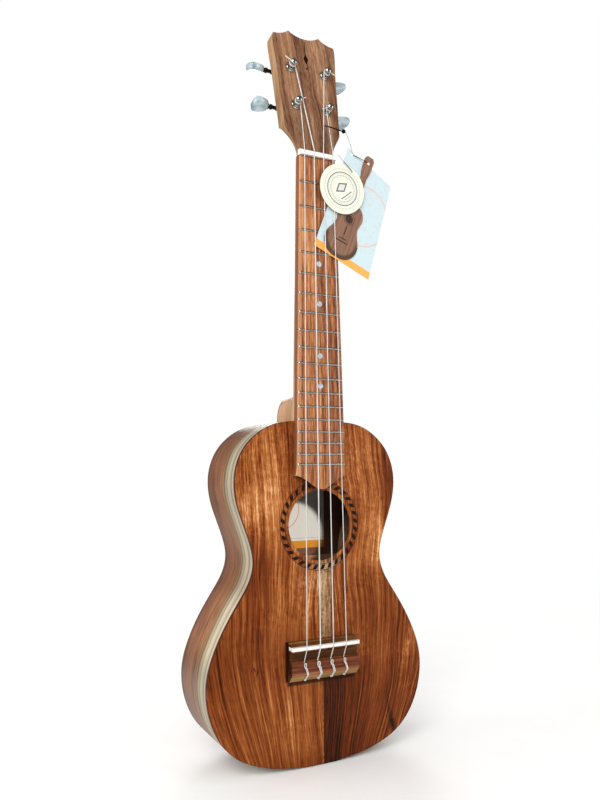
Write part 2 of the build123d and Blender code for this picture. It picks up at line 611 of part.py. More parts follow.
# Profiles turned about the post axis: (out of the head face, radius)
BUSHING = [(-9.0, BORE_R), (0, BORE_R), (0, 4.9), (1.0, 4.9), (1.7, 4.4), (2.0, 4.1),
           (2.9, 3.9), (3.3, 3.6)]
PLATE_SCREW = [(PLATE_BACK - 1.0, 0.5), (PLATE_BACK - 0.9, 1.1), (PLATE_BACK - 0.4, 1.7),
               (PLATE_BACK, 1.8), (PLATE_BACK, 0.88), (-HEAD_T + 4.6, 0.88), (-HEAD_T + 5.8, 0.2)]
POST = [(GEAR_BACK, GEAR_SEAT_R), (-18.6, GEAR_SEAT_R), (-18.6, POST_R), (3.35, POST_R),
        (3.6, WAIST_R), (8.35, WAIST_R), (8.7, 2.85), (9.2, 3.05), (9.8, 2.85), (10.35, 2.2),
        (10.75, 1.3), (10.9, 0.5)]
GEAR_SCREW = [(-23.1, 1.6), (-22.9, 2.4), (-22.3, 2.9), (GEAR_BACK, 3.0), (GEAR_BACK, 1.2),
              (-18.2, 1.2), (-17.6, 0.5)]
# Half outline of a button: (along the shaft, half width)
BUTTON_HALF = [(0, 3.6), (1.8, 5.6), (5.4, 7.1), (10.2, 7.9), (13.6, 7.0), (BUTTON_L, 3.9)]


def tuner_bushing():
    return lathe_z(BUSHING) - Cylinder(BUSHING_BORE_R, 60)


def tuner_plate():
    """Base plate with two ears that carry the worm shaft."""
    plate = Pos(0, PLATE_MID, -HEAD_T - PLATE_T / 2) * Box(2 * EAR_X + EAR_T, PLATE_L, PLATE_T)
    plate = fillet(plate.edges().filter_by(Axis.Z), 2.2)
    ears = []
    for x in (-EAR_X, EAR_X):
        ear = Pos(x, WORM_UP, (WORM_OUT + PLATE_BACK) / 2) * Box(
            EAR_T, 2 * EAR_R, PLATE_BACK - WORM_OUT)
        ears.append(ear + Pos(x, WORM_UP, WORM_OUT) * rod_x(EAR_R, EAR_T))
    plate = plate + ears[0] + ears[1]
    plate = plate - Pos(0, WORM_UP, WORM_OUT) * rod_x(WORM_CORE + 0.05, 40)
    plate = plate - Pos(0, 0, -HEAD_T) * Cylinder(POST_R + 0.08, 10)
    for screw_up in SCREW_UPS:
        plate = plate - Pos(0, screw_up, -HEAD_T) * Cylinder(1.0, 10)
    return plate


def plate_screw():
    recess = Pos(0, 0, PLATE_BACK - 0.9)
    return lathe_z(PLATE_SCREW) - recess * Box(2.0, 0.4, 0.6) - recess * Box(0.4, 2.0, 0.6)


def tuner_post(tail_angle):
    post = lathe_z(POST)
    post = post - Pos(0, 0, TAIL_H) * (Rotation(0, 0, tail_angle) * rod_x(0.64, 12))
    return post - Pos(0, 0, -19.5) * Cylinder(1.2, 5.0)


def tuner_gear():
    points = []
    for i in range(GEAR_TEETH):
        middle = math.radians(90 + i * 360 / GEAR_TEETH)
        for radius, offset in ((GEAR_ROOT_R, 0.62), (GEAR_TIP_R, 0.27),
                               (GEAR_TIP_R, -0.27), (GEAR_ROOT_R, -0.62)):
            angle = middle - offset / radius
            points.append((radius * math.cos(angle), radius * math.sin(angle)))
    face = make_face(Polyline(*points, close=True))
    return Pos(0, 0, GEAR_BACK) * extrude(face, amount=GEAR_T) - Cylinder(GEAR_SEAT_R, 80)


def gear_screw():
    return lathe_z(GEAR_SCREW) - Pos(0, 0, -23.1) * Box(8, 0.6, 1.2)


def worm_thread():
    root = WORM_CORE - 0.15
    section = Plane(origin=(0, 0, 0), x_dir=(1, 0, 0), z_dir=(0, -1, 0)) * make_face(
        Polyline((root, -0.64), (WORM_TIP, -0.27), (WORM_TIP, 0.27), (root, 0.64), close=True))
    thread = sweep(section, path=Helix(PITCH, WORM_TURNS * PITCH, WORM_R), is_frenet=True)
    return thread.moved(Pos(0, 0, -WORM_TURNS / 2 * PITCH))


THREAD = worm_thread()


def tuner_worm(button_x, side):
    """Worm on its shaft, with collars turned on the part towards the button."""
    ear_out = EAR_X + EAR_T / 2 + 0.35
    shaft = lathe_x([
        (-8.2, 1.2), (-7.9, WORM_CORE), (ear_out, WORM_CORE), (ear_out, 2.35),
        (EAR_X + 3.0, 2.35), (EAR_X + 3.6, 1.75), (button_x - 5.2, 1.75), (button_x - 4.6, 2.5),
        (button_x - 3.0, 2.5), (button_x - 2.4, 1.9), (button_x - 1.6, 1.9), (button_x - 1.1, 2.6),
        (button_x, 2.9), (button_x, BUTTON_BORE_R), (button_x + 10.0, BUTTON_BORE_R)])
    if side < 0:
        shaft = Rotation(0, 180, 0) * shaft
    return shaft + Plane(origin=(0, 0, 0), x_dir=(0, -1, 0), z_dir=(1, 0, 0)).location * THREAD


def tuner_button(button_x, angle, side):
    """Rounded blade, turned about the shaft to its rest angle."""
    other_half = [(along, -half) for along, half in reversed(BUTTON_HALF)]
    face = make_face(Spline(*BUTTON_HALF, *other_half, periodic=True))
    blade = extrude(face, amount=BUTTON_HALF_T, both=True)
    # Guards the rounding: a bevel stands in where it cannot be built
    try:
        blade = fillet(blade.edges().filter_by(GeomType.BSPLINE), 2.3)
    except Exception:
        blade = chamfer(blade.edges().filter_by(GeomType.BSPLINE), 1.5)
    blade = blade - Pos(4.5, 0, 0) * rod_x(BUTTON_BORE_R, 11.0)
    blade = blade - bar(-5, 0.0, -20, 20, -20, 20)
    blade = Rotation(angle, 0, 0) * Pos(button_x, 0, 0) * blade
    return Rotation(0, 180, 0) * blade if side < 0 else blade


bushings, plates, plate_screws = [], [], []
for i, (post_x, post_up) in enumerate(POSTS):
    side = -1 if post_x < 0 else 1
    name = STRING_NAMES[i]
    at_post = Pos(post_x, post_up, 0)
    at_worm = Pos(post_x, post_up + WORM_UP, WORM_OUT)
    button_x = BUTTON_STARTS[i] - abs(post_x)
    bushings.append(on_head(at_post * tuner_bushing()))
    plates.append(on_head(at_post * tuner_plate()))
    for screw_up in SCREW_UPS:
        plate_screws.append(on_head(at_post * Pos(0, screw_up, 0) * plate_screw()))
    save(f"tuner_post_{name}", on_head(at_post * tuner_post(TAIL_ANGLES[i])))
    save(f"tuner_gear_{name}", on_head(at_post * tuner_gear()))
    save(f"gear_screw_{name}", on_head(at_post * gear_screw()))
    save(f"tuner_worm_{name}", on_head(at_worm * tuner_worm(button_x, side)))
    button = tuner_button(button_x, BUTTON_ANGLES[i], side)
    save(f"tuner_button_{name}", on_head(at_worm * button))
save("tuner_bushings", *bushings)
save("tuner_plates", *plates)
save("tuner_plate_screws", *plate_screws)

# ---------------------------------------------------------------- strings and their windings
STRING_H = 4.75          # height of the string above the head face where it meets its post
SPLIT_R = 3.6            # inside this radius about a post the string belongs to the winding
COIL_TURNS, COIL_GAP = 1.4, 0.06
KNOT_BOW = 2.6           # sideways lean of the two strands on the tie block


def over_saddle(x, radius, start=-1.5, end=27.0, steps=3):
    """Corner points just outside an arc about the saddle's rounded top.

    Angles run from straight forward towards the tail."""
    step = (end - start) / steps
    reach = radius / math.cos(math.radians(step / 2))
    points = []
    for k in range(steps):
        angle = math.radians(start + (k + 0.5) * step)
        points.append(Vector(x, -(SADDLE_TOP - SADDLE_HALF) - reach * math.cos(angle),
                             SADDLE_Z - reach * math.sin(angle)))
    return points


def string_points(i, wrap_x):
    """Path from the post over nut and saddle, through the tie block and around its own knot."""
    diameter, x = STRING_D[i], SADDLE_X[i]
    radius = diameter / 2
    lift = radius + 0.06                             # string centre above the wood it lies on
    nut_y, top_y = -(STRING_AT_NUT + radius), -(TIE_TOP_Y + lift)
    mouth, leave = TIE_HOLES[i]
    way = (leave - mouth).normalized()
    over = TIE_BEVEL - 0.5 * lift
    near, far = TIE_FRONT - 0.6, TIE_BEVEL + 0.6     # the two strands lie between these
    middle = (near + far) / 2
    left, right = x - diameter * 0.56, x + diameter * 0.56
    return [
        head_point(wrap_x, POSTS[i][1] - 0.25, STRING_H),
        Vector(NUT_X[i], nut_y, NUT_L + 0.4), Vector(NUT_X[i], nut_y, 0.0),
        *over_saddle(x, SADDLE_HALF + 0.03 + radius),
        mouth, leave + way * 1.7,
        on_bevel(left + KNOT_BOW, 0.62, lift),
        Vector(left + KNOT_BOW, top_y - 0.04, over),
        Vector(left + KNOT_BOW * 0.45, top_y, middle),
        Vector(left - diameter * 0.1, top_y, near - 2.2),
        Vector(x - diameter * 1.15, top_y - 0.15, near - 0.5),
        Vector(x - diameter * 0.75, top_y - 0.3, near + 0.75 + lift),
        Vector(x + diameter * 0.75, top_y - 0.3, near + 0.75 + lift),
        Vector(x + diameter * 1.15, top_y - 0.15, near - 0.5),
        Vector(right + diameter * 0.1, top_y, near - 2.2),
        Vector(right + KNOT_BOW * 0.55, top_y, middle),
        Vector(right + KNOT_BOW, top_y - 0.04, over),
        on_bevel(right + KNOT_BOW - 0.2, 0.93, lift)]


def winding_coil(diameter, wrap_radius, side):
    rise = diameter + COIL_GAP
    start = Plane(origin=(wrap_radius, 0, 0), x_dir=(1, 0, 0), z_dir=(0, 1, 0))
    coil = sweep(start * Circle(diameter / 2), path=Helix(rise, COIL_TURNS * rise, wrap_radius),
                 is_frenet=True)
    return coil.mirror(Plane.YZ) if side > 0 else coil


def string_tail(radius, angle, length):
    tail = Pos(0, 0, length / 2 - 1.2) * Cylinder(radius, length + 2.4)
    return Pos(0, 0, TAIL_H) * (Rotation(0, 0, angle) * (Rotation(0, 90, 0) * tail))


for i, (post_x, post_up) in enumerate(POSTS):
    name, radius = STRING_NAMES[i], STRING_D[i] / 2
    side = -1 if post_x < 0 else 1
    wrap_radius = WAIST_R + 0.05 + radius
    string = cord(string_points(i, post_x - side * wrap_radius), radius)
    around = Pos(post_x, post_up, 6.0)
    lead = string & on_head(around * Cylinder(SPLIT_R, 20))
    save(f"string_{name}", string - on_head(around * Cylinder(SPLIT_R + 0.03, 20)))
    coil = winding_coil(STRING_D[i], wrap_radius, side)
    tail = string_tail(radius, TAIL_ANGLES[i], TAIL_LENGTHS[i])
    save(f"winding_{name}", on_head(Pos(post_x, post_up, STRING_H) * coil),
         on_head(Pos(post_x, post_up, 0) * tail), lead)

# ---------------------------------------------------------------- hang tags
CARD_Y, CARD_T = 7.5, 0.35           # back of the card, just clear of the frets
CARD = ((-5.8, -81.9), (51.6, -108.0), (79.0, -14.9), (32.2, 14.4))   # corners (x, z)
WOOD_TILT, WOOD_FOOT = math.radians(-21.6), (16.9, -89.9)    # lean and tail end of the wooden tag
WOOD_HOLE_UP = 100.0
# Right half of the wooden tag, a small ukulele: (across, up from its tail end)
WOOD_BODY = ((0, 0), (10.0, 1.6), (16.4, 8.5), (17.3, 18.0), (13.4, 27.0), (11.6, 33.5),
             (12.9, 40.0), (13.1, 46.5), (9.4, 52.5), (4.3, 54.6))
WOOD_NECK = ((4.3, 54.6), (3.2, 84.0), (4.8, 91.0), (5.2, 103.6), (3.2, 106.6))
CORD_R, THREAD_R = 0.55, 0.28


def wood_point(across, up):
    """(x, z) of a point on the wooden tag."""
    cos, sin = math.cos(WOOD_TILT), math.sin(WOOD_TILT)
    return (WOOD_FOOT[0] + across * cos - up * sin, WOOD_FOOT[1] + across * sin + up * cos)


def wood_tag():
    right = Spline(*[wood_point(across, up) for across, up in WOOD_BODY])
    left = Spline(*[wood_point(-across, up) for across, up in WOOD_BODY])
    neck = Polyline(*[wood_point(across, up) for across, up in WOOD_NECK],
                    *[wood_point(-across, up) for across, up in reversed(WOOD_NECK)])
    face = make_face([right, neck, left]) - Pos(*wood_point(0, WOOD_HOLE_UP)) * Circle(1.6)
    return slab(face, -8.6, -7.9)


card = make_face(Polyline(*CARD, close=True)) - Pos(36.0, 8.6) * Circle(1.5)
save("tag_card", slab(card, -(CARD_Y + CARD_T), -CARD_Y))
save("tag_wood", wood_tag())
save("tag_round",
     slab(Pos(23.2, -27.0) * Circle(23.4) - Pos(33.5, -9.0) * Circle(1.2), -10.75, -10.15))

wood_hole_x, wood_hole_z = wood_point(0, WOOD_HOLE_UP)
# Cord over the head face: (x, up the head, out of its face)
LOOP = ((8.0, 30.7, 7.5), (14.0, 31.1, 7.0), (20.5, 32.2, 4.9), (26.5, 33.4, 2.5),
        (31.0, 34.2, 1.5))
# Threads by the tags: (x, y, z)
THREADS = (
    ((32.6, -2.6, 31.8), (33.4, -6.0, 24.0), (34.6, -8.6, 15.0), (36.2, -8.35, 9.2)),
    ((36.8, -8.25, 8.2), (42.0, -9.2, 6.4), (48.0, -9.4, 4.6),
     (wood_hole_x - 0.4, -8.75, wood_hole_z + 0.4)),
    ((19.4, -10.2, 4.6), (24.0, -11.6, -1.0), (29.5, -11.9, -6.0), (33.2, -11.2, -8.2)))
loop = tube(Spline(*[head_point(*point) for point in LOOP]), CORD_R)
knot = on_head(Pos(32.4, 34.2, 1.4) * Sphere(1.9))
save("tag_cord", loop + knot,
     *[tube(Spline(*[Vector(*point) for point in points]), THREAD_R) for points in THREADS])
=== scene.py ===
# A four-string ukulele in acacia with its tags, label and tuners, lit on a white studio floor.
# It stands on its tail: X is right seen from the front, -Y out of the soundboard, Z up the neck.
import math

import bmesh
import bpy
from mathutils import Matrix, Vector


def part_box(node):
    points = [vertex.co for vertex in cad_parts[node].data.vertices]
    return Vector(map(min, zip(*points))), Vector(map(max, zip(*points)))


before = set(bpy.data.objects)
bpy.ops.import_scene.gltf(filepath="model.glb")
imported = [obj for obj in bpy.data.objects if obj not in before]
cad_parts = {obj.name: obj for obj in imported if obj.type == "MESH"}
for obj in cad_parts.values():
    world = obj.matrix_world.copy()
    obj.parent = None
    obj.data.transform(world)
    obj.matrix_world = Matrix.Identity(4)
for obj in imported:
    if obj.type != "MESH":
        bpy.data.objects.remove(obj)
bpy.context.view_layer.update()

# Materials measure in millimetres: x from the centre plane, y back from the soundboard's
# front face, z up from the nut's lower edge (so most of the instrument has negative z).
MM = 1000.0
nut_low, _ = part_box("nut")
top_low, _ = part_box("soundboard_left")
rosette_low, rosette_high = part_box("rosette_band")
label_low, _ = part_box("label")
Z_NUT = nut_low.z * MM
Y_TOP = top_low.y * MM
X_HOLE = 0.7
Z_HOLE = (rosette_low.z + rosette_high.z) * MM / 2
LABEL_FOOT = label_low.z * MM - Z_NUT

WHITE = (1.0, 1.0, 1.0, 1.0)
WARM = (1.0, 0.55, 0.30, 1.0)   # lacquer over brown wood throws a warm sheen
FRONT = 1.0 / 1.22              # evens out the extra light that front faces take

# Acacia from darkest to palest: position, then sRGB red, green, blue.
BROWNS = (
    (0.0, 26, 9, 4), (0.12, 58, 20, 7), (0.25, 88, 34, 10), (0.38, 112, 48, 15),
    (0.50, 134, 66, 26), (0.62, 158, 87, 41), (0.75, 188, 114, 60), (0.88, 218, 148, 90),
    (1.0, 242, 192, 140))


# ------------------------------------------------------------------ node helpers
# The helpers add nodes to `tree`, the node tree being built.
tree = None


def add(kind, inputs, **settings):
    """A new node; inputs maps an index or name to a value, a socket or a Value."""
    node = tree.nodes.new("ShaderNode" + kind)
    for key, setting in settings.items():
        setattr(node, key, setting)
    for key, value in inputs.items():
        connect(node, key, value)
    return node


def connect(node, key, value):
    if isinstance(value, Value):
        value = value.socket
    if isinstance(value, bpy.types.NodeSocket):
        tree.links.new(value, node.inputs[key])
    else:
        node.inputs[key].default_value = value


def calc(operation, *operands):
    return Value(add("Math", dict(enumerate(operands)), operation=operation).outputs[0])


class Value:
    """A float socket with arithmetic; each operation adds a Math node."""

    def __init__(self, socket):
        self.socket = socket

    def __neg__(self):
        return calc("MULTIPLY", self, -1.0)

    def __abs__(self):
        return calc("ABSOLUTE", self)


for method, kind in (("add", "ADD"), ("sub", "SUBTRACT"), ("mul", "MULTIPLY"),
                     ("truediv", "DIVIDE")):
    setattr(Value, f"__{method}__", lambda self, other, kind=kind: calc(kind, self, other))
    setattr(Value, f"__r{method}__", lambda self, other, kind=kind: calc(kind, other, self))


def at_least(value, low):
    return calc("MAXIMUM", value, low)


def clamp(value):
    return calc("MINIMUM", at_least(value, 0.0), 1.0)


def root(value):
    return calc("SQRT", value)


def swing(value, amount):
    """A 0 to 1 noise turned into a swing about zero."""
    return (value - 0.5) * amount


def step(value, start, end):
    """Smooth 0 to 1 as value goes from start to end (start may be above end)."""
    falling = start > end
    node = add("MapRange", {
        0: value, 1: min(start, end), 2: max(start, end),
        3: float(falling), 4: float(not falling)}, interpolation_type="SMOOTHSTEP")
    return Value(node.outputs[0])


def near(value, outer, inner):
    """1 within inner of zero, fading to 0 at outer."""
    return step(abs(value), outer, inner)


def blob(u, v, u0, v0, spread_u, spread_v, tilt=0.0):
    """A soft bump of height 1 at (u0, v0)."""
    du, dv = u - u0, v - v0
    if tilt:
        du = du - dv * tilt
    a = du / spread_u
    b = dv / spread_v
    return calc("EXPONENT", -(a * a + b * b))


def add_spots(tone, x, z, spots):
    """Lighten or darken tone; a spot is (change, x, z, spread in x, spread in z, tilt)."""
    for change, *place in spots:
        if change > 0:
            tone = tone + blob(x, z, *place) * change
        else:
            tone = tone - blob(x, z, *place) * -change
    return tone


def vector(a, b, c):
    return add("CombineXYZ", {0: a, 1: b, 2: c}).outputs[0]


def noise(a, b, c, detail=2.0, rough=0.5, distort=0.0):
    """Noise at (a, b, c); each coordinate's factor is its frequency per mm."""
    node = add("TexNoise", {
        "Vector": vector(a, b, c), "Scale": 1.0, "Detail": detail, "Roughness": rough,
        "Distortion": distort})
    return Value(node.outputs[0])


def even_noise(axes, frequency, detail=2.0, rough=0.5, distort=0.0):
    """Noise with the same frequency along x, y and z."""
    return noise(*(axis * frequency for axis in axes), detail, rough, distort)


def grain_of(*layers):
    """Clamped tone 0 to 1 from (noise, weight) layers."""
    total = swing(*layers[0])
    for layer in layers[1:]:
        total = total + swing(*layer)
    return clamp(total + 0.5)


def linear(rgb):
    """sRGB 0-255 triple to a linear colour with alpha."""
    parts = [c / 255.0 for c in rgb]
    return (*(c / 12.92 if c <= 0.04045 else ((c + 0.055) / 1.055) ** 2.4 for c in parts), 1)


def ramp(value, *stops):
    """Colour ramp; a stop is (position, red, green, blue)."""
    node = add("ValToRGB", {0: value})
    elements = node.color_ramp.elements
    while len(elements) > 1:
        elements.remove(elements[-1])
    elements[0].position = stops[0][0]
    elements[0].color = linear(stops[0][1:])
    for position, *rgb in stops[1:]:
        elements.new(position).color = linear(rgb)
    return node.outputs[0]


def mix(factor, under, over):
    """Blend two colours, each a socket or an sRGB triple."""
    under, over = (linear(c) if isinstance(c, tuple) else c for c in (under, over))
    return add("Mix", {0: factor, 6: under, 7: over}, data_type="RGBA").outputs[2]


def gain(color, factor):
    return add("VectorMath", {0: color, 3: factor}, operation="SCALE").outputs[0]


def bump(height, strength, depth):
    """Surface relief; depth is in metres."""
    return add("Bump", {"Strength": strength, "Distance": depth, "Height": height}).outputs[0]


def begin(name, axes):
    """Start a material and return its coordinates, in mm, along the named axes."""
    global tree
    material = bpy.data.materials.new(name)
    material.use_nodes = True
    tree = material.node_tree
    tree.nodes.clear()
    place = add("TexCoord", {}).outputs["Object"]
    parts = add("SeparateXYZ", {0: place}).outputs
    found = []
    for axis in axes:
        value = Value(parts["xyz".index(axis)]) * MM
        if axis != "x":
            value = value - (Y_TOP if axis == "y" else Z_NUT)
        found.append(value)
    CURRENT["material"] = material
    return found


CURRENT = {}    # the material that begin() started


def normal(axes):
    """The face normal's parts along the named axes."""
    direction = add("NewGeometry", {}).outputs["True Normal"]
    parts = add("SeparateXYZ", {0: direction}).outputs
    return [Value(parts["xyz".index(axis)]) for axis in axes]


INPUT_NAMES = {
    "rough": "Roughness", "normal": "Normal", "metallic": "Metallic",
    "specular": "Specular IOR Level", "tint": "Specular Tint",
    "coat": "Coat Weight", "coat_rough": "Coat Roughness",
    "subsurface": "Subsurface Weight", "subsurface_scale": "Subsurface Scale"}


def principled(color, **inputs):
    named = {INPUT_NAMES[key]: value for key, value in inputs.items()}
    return add("BsdfPrincipled", {"Base Color": color, **named}).outputs[0]


def output(surface):
    add("OutputMaterial", {0: surface})
    return CURRENT["material"]


def finish(color, **inputs):
    return output(principled(color, **inputs))


# ------------------------------------------------------------------ soundboard
# Pale and dark areas of each half: change, x, z, spread in x, spread in z, tilt.
LEFT_SPOTS = (
    (0.32, -68.0, -316.0, 24.0, 20.0), (0.16, -46.0, -300.0, 22.0, 26.0),
    (0.12, -44.0, -345.0, 16.0, 16.0), (0.16, -60.0, -262.0, 34.0, 26.0),
    (0.16, -12.0, -400.0, 24.0, 36.0), (0.06, -30.0, -500.0, 30.0, 44.0),
    (-0.12, -62.0, -368.0, 16.0, 24.0), (-0.10, -84.0, -440.0, 34.0, 42.0),
    (-0.12, -96.0, -283.0, 14.0, 22.0), (-0.10, -20.0, -538.0, 50.0, 10.0))
RIGHT_UPPER_SPOTS = (
    (0.22, 64.0, -346.0, 20.0, 20.0), (0.12, 46.0, -366.0, 26.0, 12.0),
    (0.16, 44.0, -276.0, 32.0, 36.0), (0.10, 58.0, -318.0, 14.0, 26.0),
    (-0.22, 84.0, -296.0, 16.0, 26.0), (-0.16, 80.0, -268.0, 18.0, 26.0),
    (-0.10, 74.0, -334.0, 10.0, 20.0), (-0.06, 88.0, -430.0, 26.0, 50.0))
RIGHT_LOWER_SPOTS = (
    (-0.05, 84.0, -505.0, 30.0, 34.0), (0.16, 94.0, -448.0, 6.0, 24.0, 0.35),
    (0.09, 40.0, -492.0, 10.0, 40.0, 0.1))


def board(x, z, left):
    """One half of the top: tone 0 to 1, two grain layers, pores and the bent grain's x."""
    seed = 0.0 if left else 37.0
    # the streaks curve outwards below this height
    low = at_least(-418.0 - z, 0.0)
    if left:
        arc = low * low * clamp(x / -100.0) * -0.0027
    else:
        arc = low * low * clamp(x / 100.0) * 0.0028
    sway = (swing(noise(x * 0.008, seed, z * 0.007, 1.5), 26.0)
            + swing(noise(x * 0.03, seed + 3.0, z * 0.016, 1.0), 5.0))
    flow = x + arc + sway
    broad = noise(flow * 0.055, seed + 1.0, z * 0.0025, 2.0, 0.55)
    streak = noise(flow * 0.26, seed + 5.0, z * 0.007, 3.0, 0.62)
    fine = noise(flow * 0.52, seed + 9.0, z * 0.016, 2.0, 0.65)
    if left:
        tone = add_spots(0.50, x, z, LEFT_SPOTS)
    else:
        tone = add_spots(0.50, x, z, RIGHT_UPPER_SPOTS)
        tone = tone - step(z, -448.0, -470.0) * (step(x, 76.0, 8.0) * 0.24 + 0.07)
        tone = add_spots(tone, x, z, RIGHT_LOWER_SPOTS)
    # curl and flecks are strongest in the pale patches; the flecks' bright specks are partly
    # painted glints
    patch = noise(x * 0.018, seed + 2.0, z * 0.03, 1.0)
    curl = noise(flow * 0.10, seed + 4.0, z * 0.20 + x * 0.03, 2.0, 0.6)
    live = 0.35 + step(tone + swing(patch, 0.8), 0.42, 0.70)
    fleck = noise(flow * 0.75, seed + 6.0, z * 0.155, 2.0, 0.72)
    dark_line = step(noise(flow * 0.42, seed + 11.0, z * 0.0055, 1.0), 0.57, 0.68)
    pale_line = step(noise(flow * 0.50, seed + 12.0, z * 0.007, 1.0), 0.58, 0.68)
    pores = step(noise(flow * 0.95, seed + 7.0, z * 0.060, 2.0, 0.6), 0.55, 0.64)
    tone = (tone + swing(broad, 0.40) + swing(streak, 0.70) + swing(fine, 0.80)
            + (curl - 0.5) * live * 0.26 + (fleck - 0.5) * live * 0.46
            - dark_line * 0.17 + pale_line * 0.15 - pores * 0.16 + 0.02)
    return clamp(tone), streak, fine, pores, flow


def right_marks(color, x, z):
    """A pale sapwood strip right of the joint, soundhole to bridge, and a knot low down."""
    width = 12.6 + (z + 372.0) * 0.045
    wander = swing(noise(0.0, 4.0, z * 0.05, 2.0), 4.0)
    fray = swing(noise(x * 0.6, 4.0, z * 0.02, 2.0), 6.0)
    strip = (step(x - width + wander + fray, 1.6, -1.2)
             * step(z, -440.0, -430.0) * step(z, -360.0, -368.0))
    grain = (noise(x * 0.42, 8.0, z * 0.035, 3.0, 0.65)
             + swing(noise(x * 0.5, 9.0, z * 0.30, 2.0, 0.7), 0.7)
             + blob(x, z, 3.0, -386.0, 7.0, 12.0) * 0.22 - step(x, 6.0, 12.0) * 0.06)
    pale = ramp(grain, (0.25, 86, 56, 34), (0.42, 122, 88, 58), (0.56, 170, 131, 92),
                (0.72, 210, 174, 132), (0.9, 236, 210, 176))
    color = mix(strip * 0.93, color, pale)
    knot = (blob(x, z, 70.5, -500.0, 1.8, 17.0, -0.14) * 0.55
            + blob(x, z, 75.0, -519.0, 3.2, 9.0, -0.2)
            + blob(x, z, 77.5, -532.0, 2.2, 6.0, -0.1) * 0.6)
    ragged = 0.55 + noise(x * 0.5, 5.0, z * 0.12, 3.0, 0.7) * 0.9
    return mix(clamp(knot * ragged), color, (24, 9, 5))


def left_marks(color, x, z):
    """A pale glow below the soundhole, a small forked mark and a painted highlight line along
    the joint.
    """
    glow_grain = noise(x * 0.6, 18.0, z * 0.22, 3.0, 0.7)
    glow = blob(x, z, -7.0, -381.0, 12.0, 8.0) * step(glow_grain, 0.46, 0.66)
    color = mix(glow * 0.85, color, (222, 184, 140))
    mark = (blob(x, z, -61.5, -455.0, 0.7, 3.6, 0.35)
            + blob(x, z, -64.5, -452.0, 0.7, 2.4, -0.5))
    color = mix(clamp(mark), color, (34, 14, 8))
    breaks = noise(x * 0.6, 28.0, z * 0.35, 2.0, 0.7)
    # painted highlight: a thin light line along the joint below the bridge
    joint_highlight = near(x - 1.6, 0.6, 0.2) * step(z, -466.0, -470.0) * step(breaks, 0.38, 0.62)
    return mix(joint_highlight * 0.7, color, (206, 140, 84))


def top_wood(side):
    """Bookmatched acacia."""
    x, z = begin("acacia_top_" + side, "xz")
    ny, = normal("y")
    left = side == "left"
    tone, streak, fine, pores, flow = board(x, z, left)
    color = ramp(tone, *BROWNS)
    color = (left_marks if left else right_marks)(color, x, z)
    # painted shadow along the bridge's tail side, then along its left end
    foot = near(x - 0.6, 34.4, 33.4) * step(z, -471.8, -469.6) * step(z, -465.0, -466.4)
    foot = foot + near(z + 450.0, 17.6, 16.6) * step(x, -36.2, -34.2) * step(x, -32.0, -33.2)
    color = mix(clamp(foot) * 0.85, color, (16, 7, 4))
    # the edge of the board, where end grain and stain read as a dark red line
    color = mix(near(ny, 0.96, 0.6) * 0.95, color, (70, 24, 18))
    height = fine * 0.6 + noise(flow * 2.4, 3.0, z * 0.06, 2.0) * 0.3 - pores * 0.9
    return finish(gain(color, FRONT), rough=clamp(0.42 + swing(streak, 0.16) + pores * 0.12),
                  normal=bump(height, strength=0.22, depth=0.00012),
                  specular=0.20, tint=WARM)


# ------------------------------------------------------------------ other woods
# Across the side from soundboard (0) to back (1): cream sapwood, olive lines, brown heart.
SIDE_STOPS = (
    (0.0, 160, 134, 104), (0.03, 198, 184, 158), (0.075, 210, 199, 176), (0.11, 184, 167, 138),
    (0.128, 142, 122, 94), (0.15, 198, 184, 158), (0.21, 210, 199, 176), (0.25, 188, 172, 144),
    (0.268, 148, 128, 98), (0.29, 192, 176, 148), (0.335, 164, 144, 112), (0.36, 118, 92, 62),
    (0.39, 160, 126, 94), (0.44, 162, 115, 82), (0.54, 156, 105, 73), (0.70, 149, 99, 71),
    (0.85, 140, 95, 71), (1.0, 118, 80, 62))


def side_wood():
    """Bent side, streaked along its length."""
    x, y, z = begin("acacia_side", "xyz")
    nx, = normal("x")
    wander = swing(noise(x * 0.012, 0.0, z * 0.012, 2.0), 12.0)
    depth = y + wander * step(y, 1.0, 14.0)
    streak = noise(x * 0.012, depth * 0.30, z * 0.012, 3.0, 0.66)
    fine = noise(x * 0.022, depth * 0.80, z * 0.022, 3.0, 0.7)
    base = ramp((depth + swing(streak, 5.0)) / 66.0, *SIDE_STOPS)
    heart = step(depth, 22.0, 30.0)
    tone = (1.0 + (streak - 0.5) * (0.55 + heart * 1.2)
            + (fine - 0.5) * (0.75 + heart * 0.8))
    pores = step(noise(x * 0.05, depth * 1.1, z * 0.05, 1.5, 0.6), 0.56, 0.66)
    tone = tone - pores * (0.05 + heart * 0.22)
    # painted shade: the inner face of the bent side is darkened as if it lay in shadow
    within = step(nx * calc("SIGN", x), -0.05, -0.35) * step(y, 0.5, 2.0)
    tone = tone * (1.0 - within * 0.93)
    curl = noise(x * 0.05, depth * 0.05, z * 0.03, 2.0)
    tone = tone + (curl - 0.5) * (0.22 + heart * 0.5)
    # painted light: brightest where the side swings out below the waist; darker towards the tail
    tone = tone * (1.0 + step(z, -384.0, -404.0) * step(z, -458.0, -430.0) * 0.45
                   - step(z, -430.0, -458.0) * 0.08 - step(z, -485.0, -538.0) * 0.14)
    color = gain(base, at_least(tone * 0.64, 0.03))
    # a dark red line beside the soundboard
    color = mix(step(y, 3.6, 2.8) * 0.85, color, (74, 30, 22))
    return finish(color, rough=clamp(0.42 + swing(streak, 0.14)),
                  normal=bump(fine * 0.6 - pores * 0.8, strength=0.16, depth=0.0001),
                  specular=0.25, tint=(1.0, 0.8, 0.62, 1.0), coat=0.03, coat_rough=0.3)


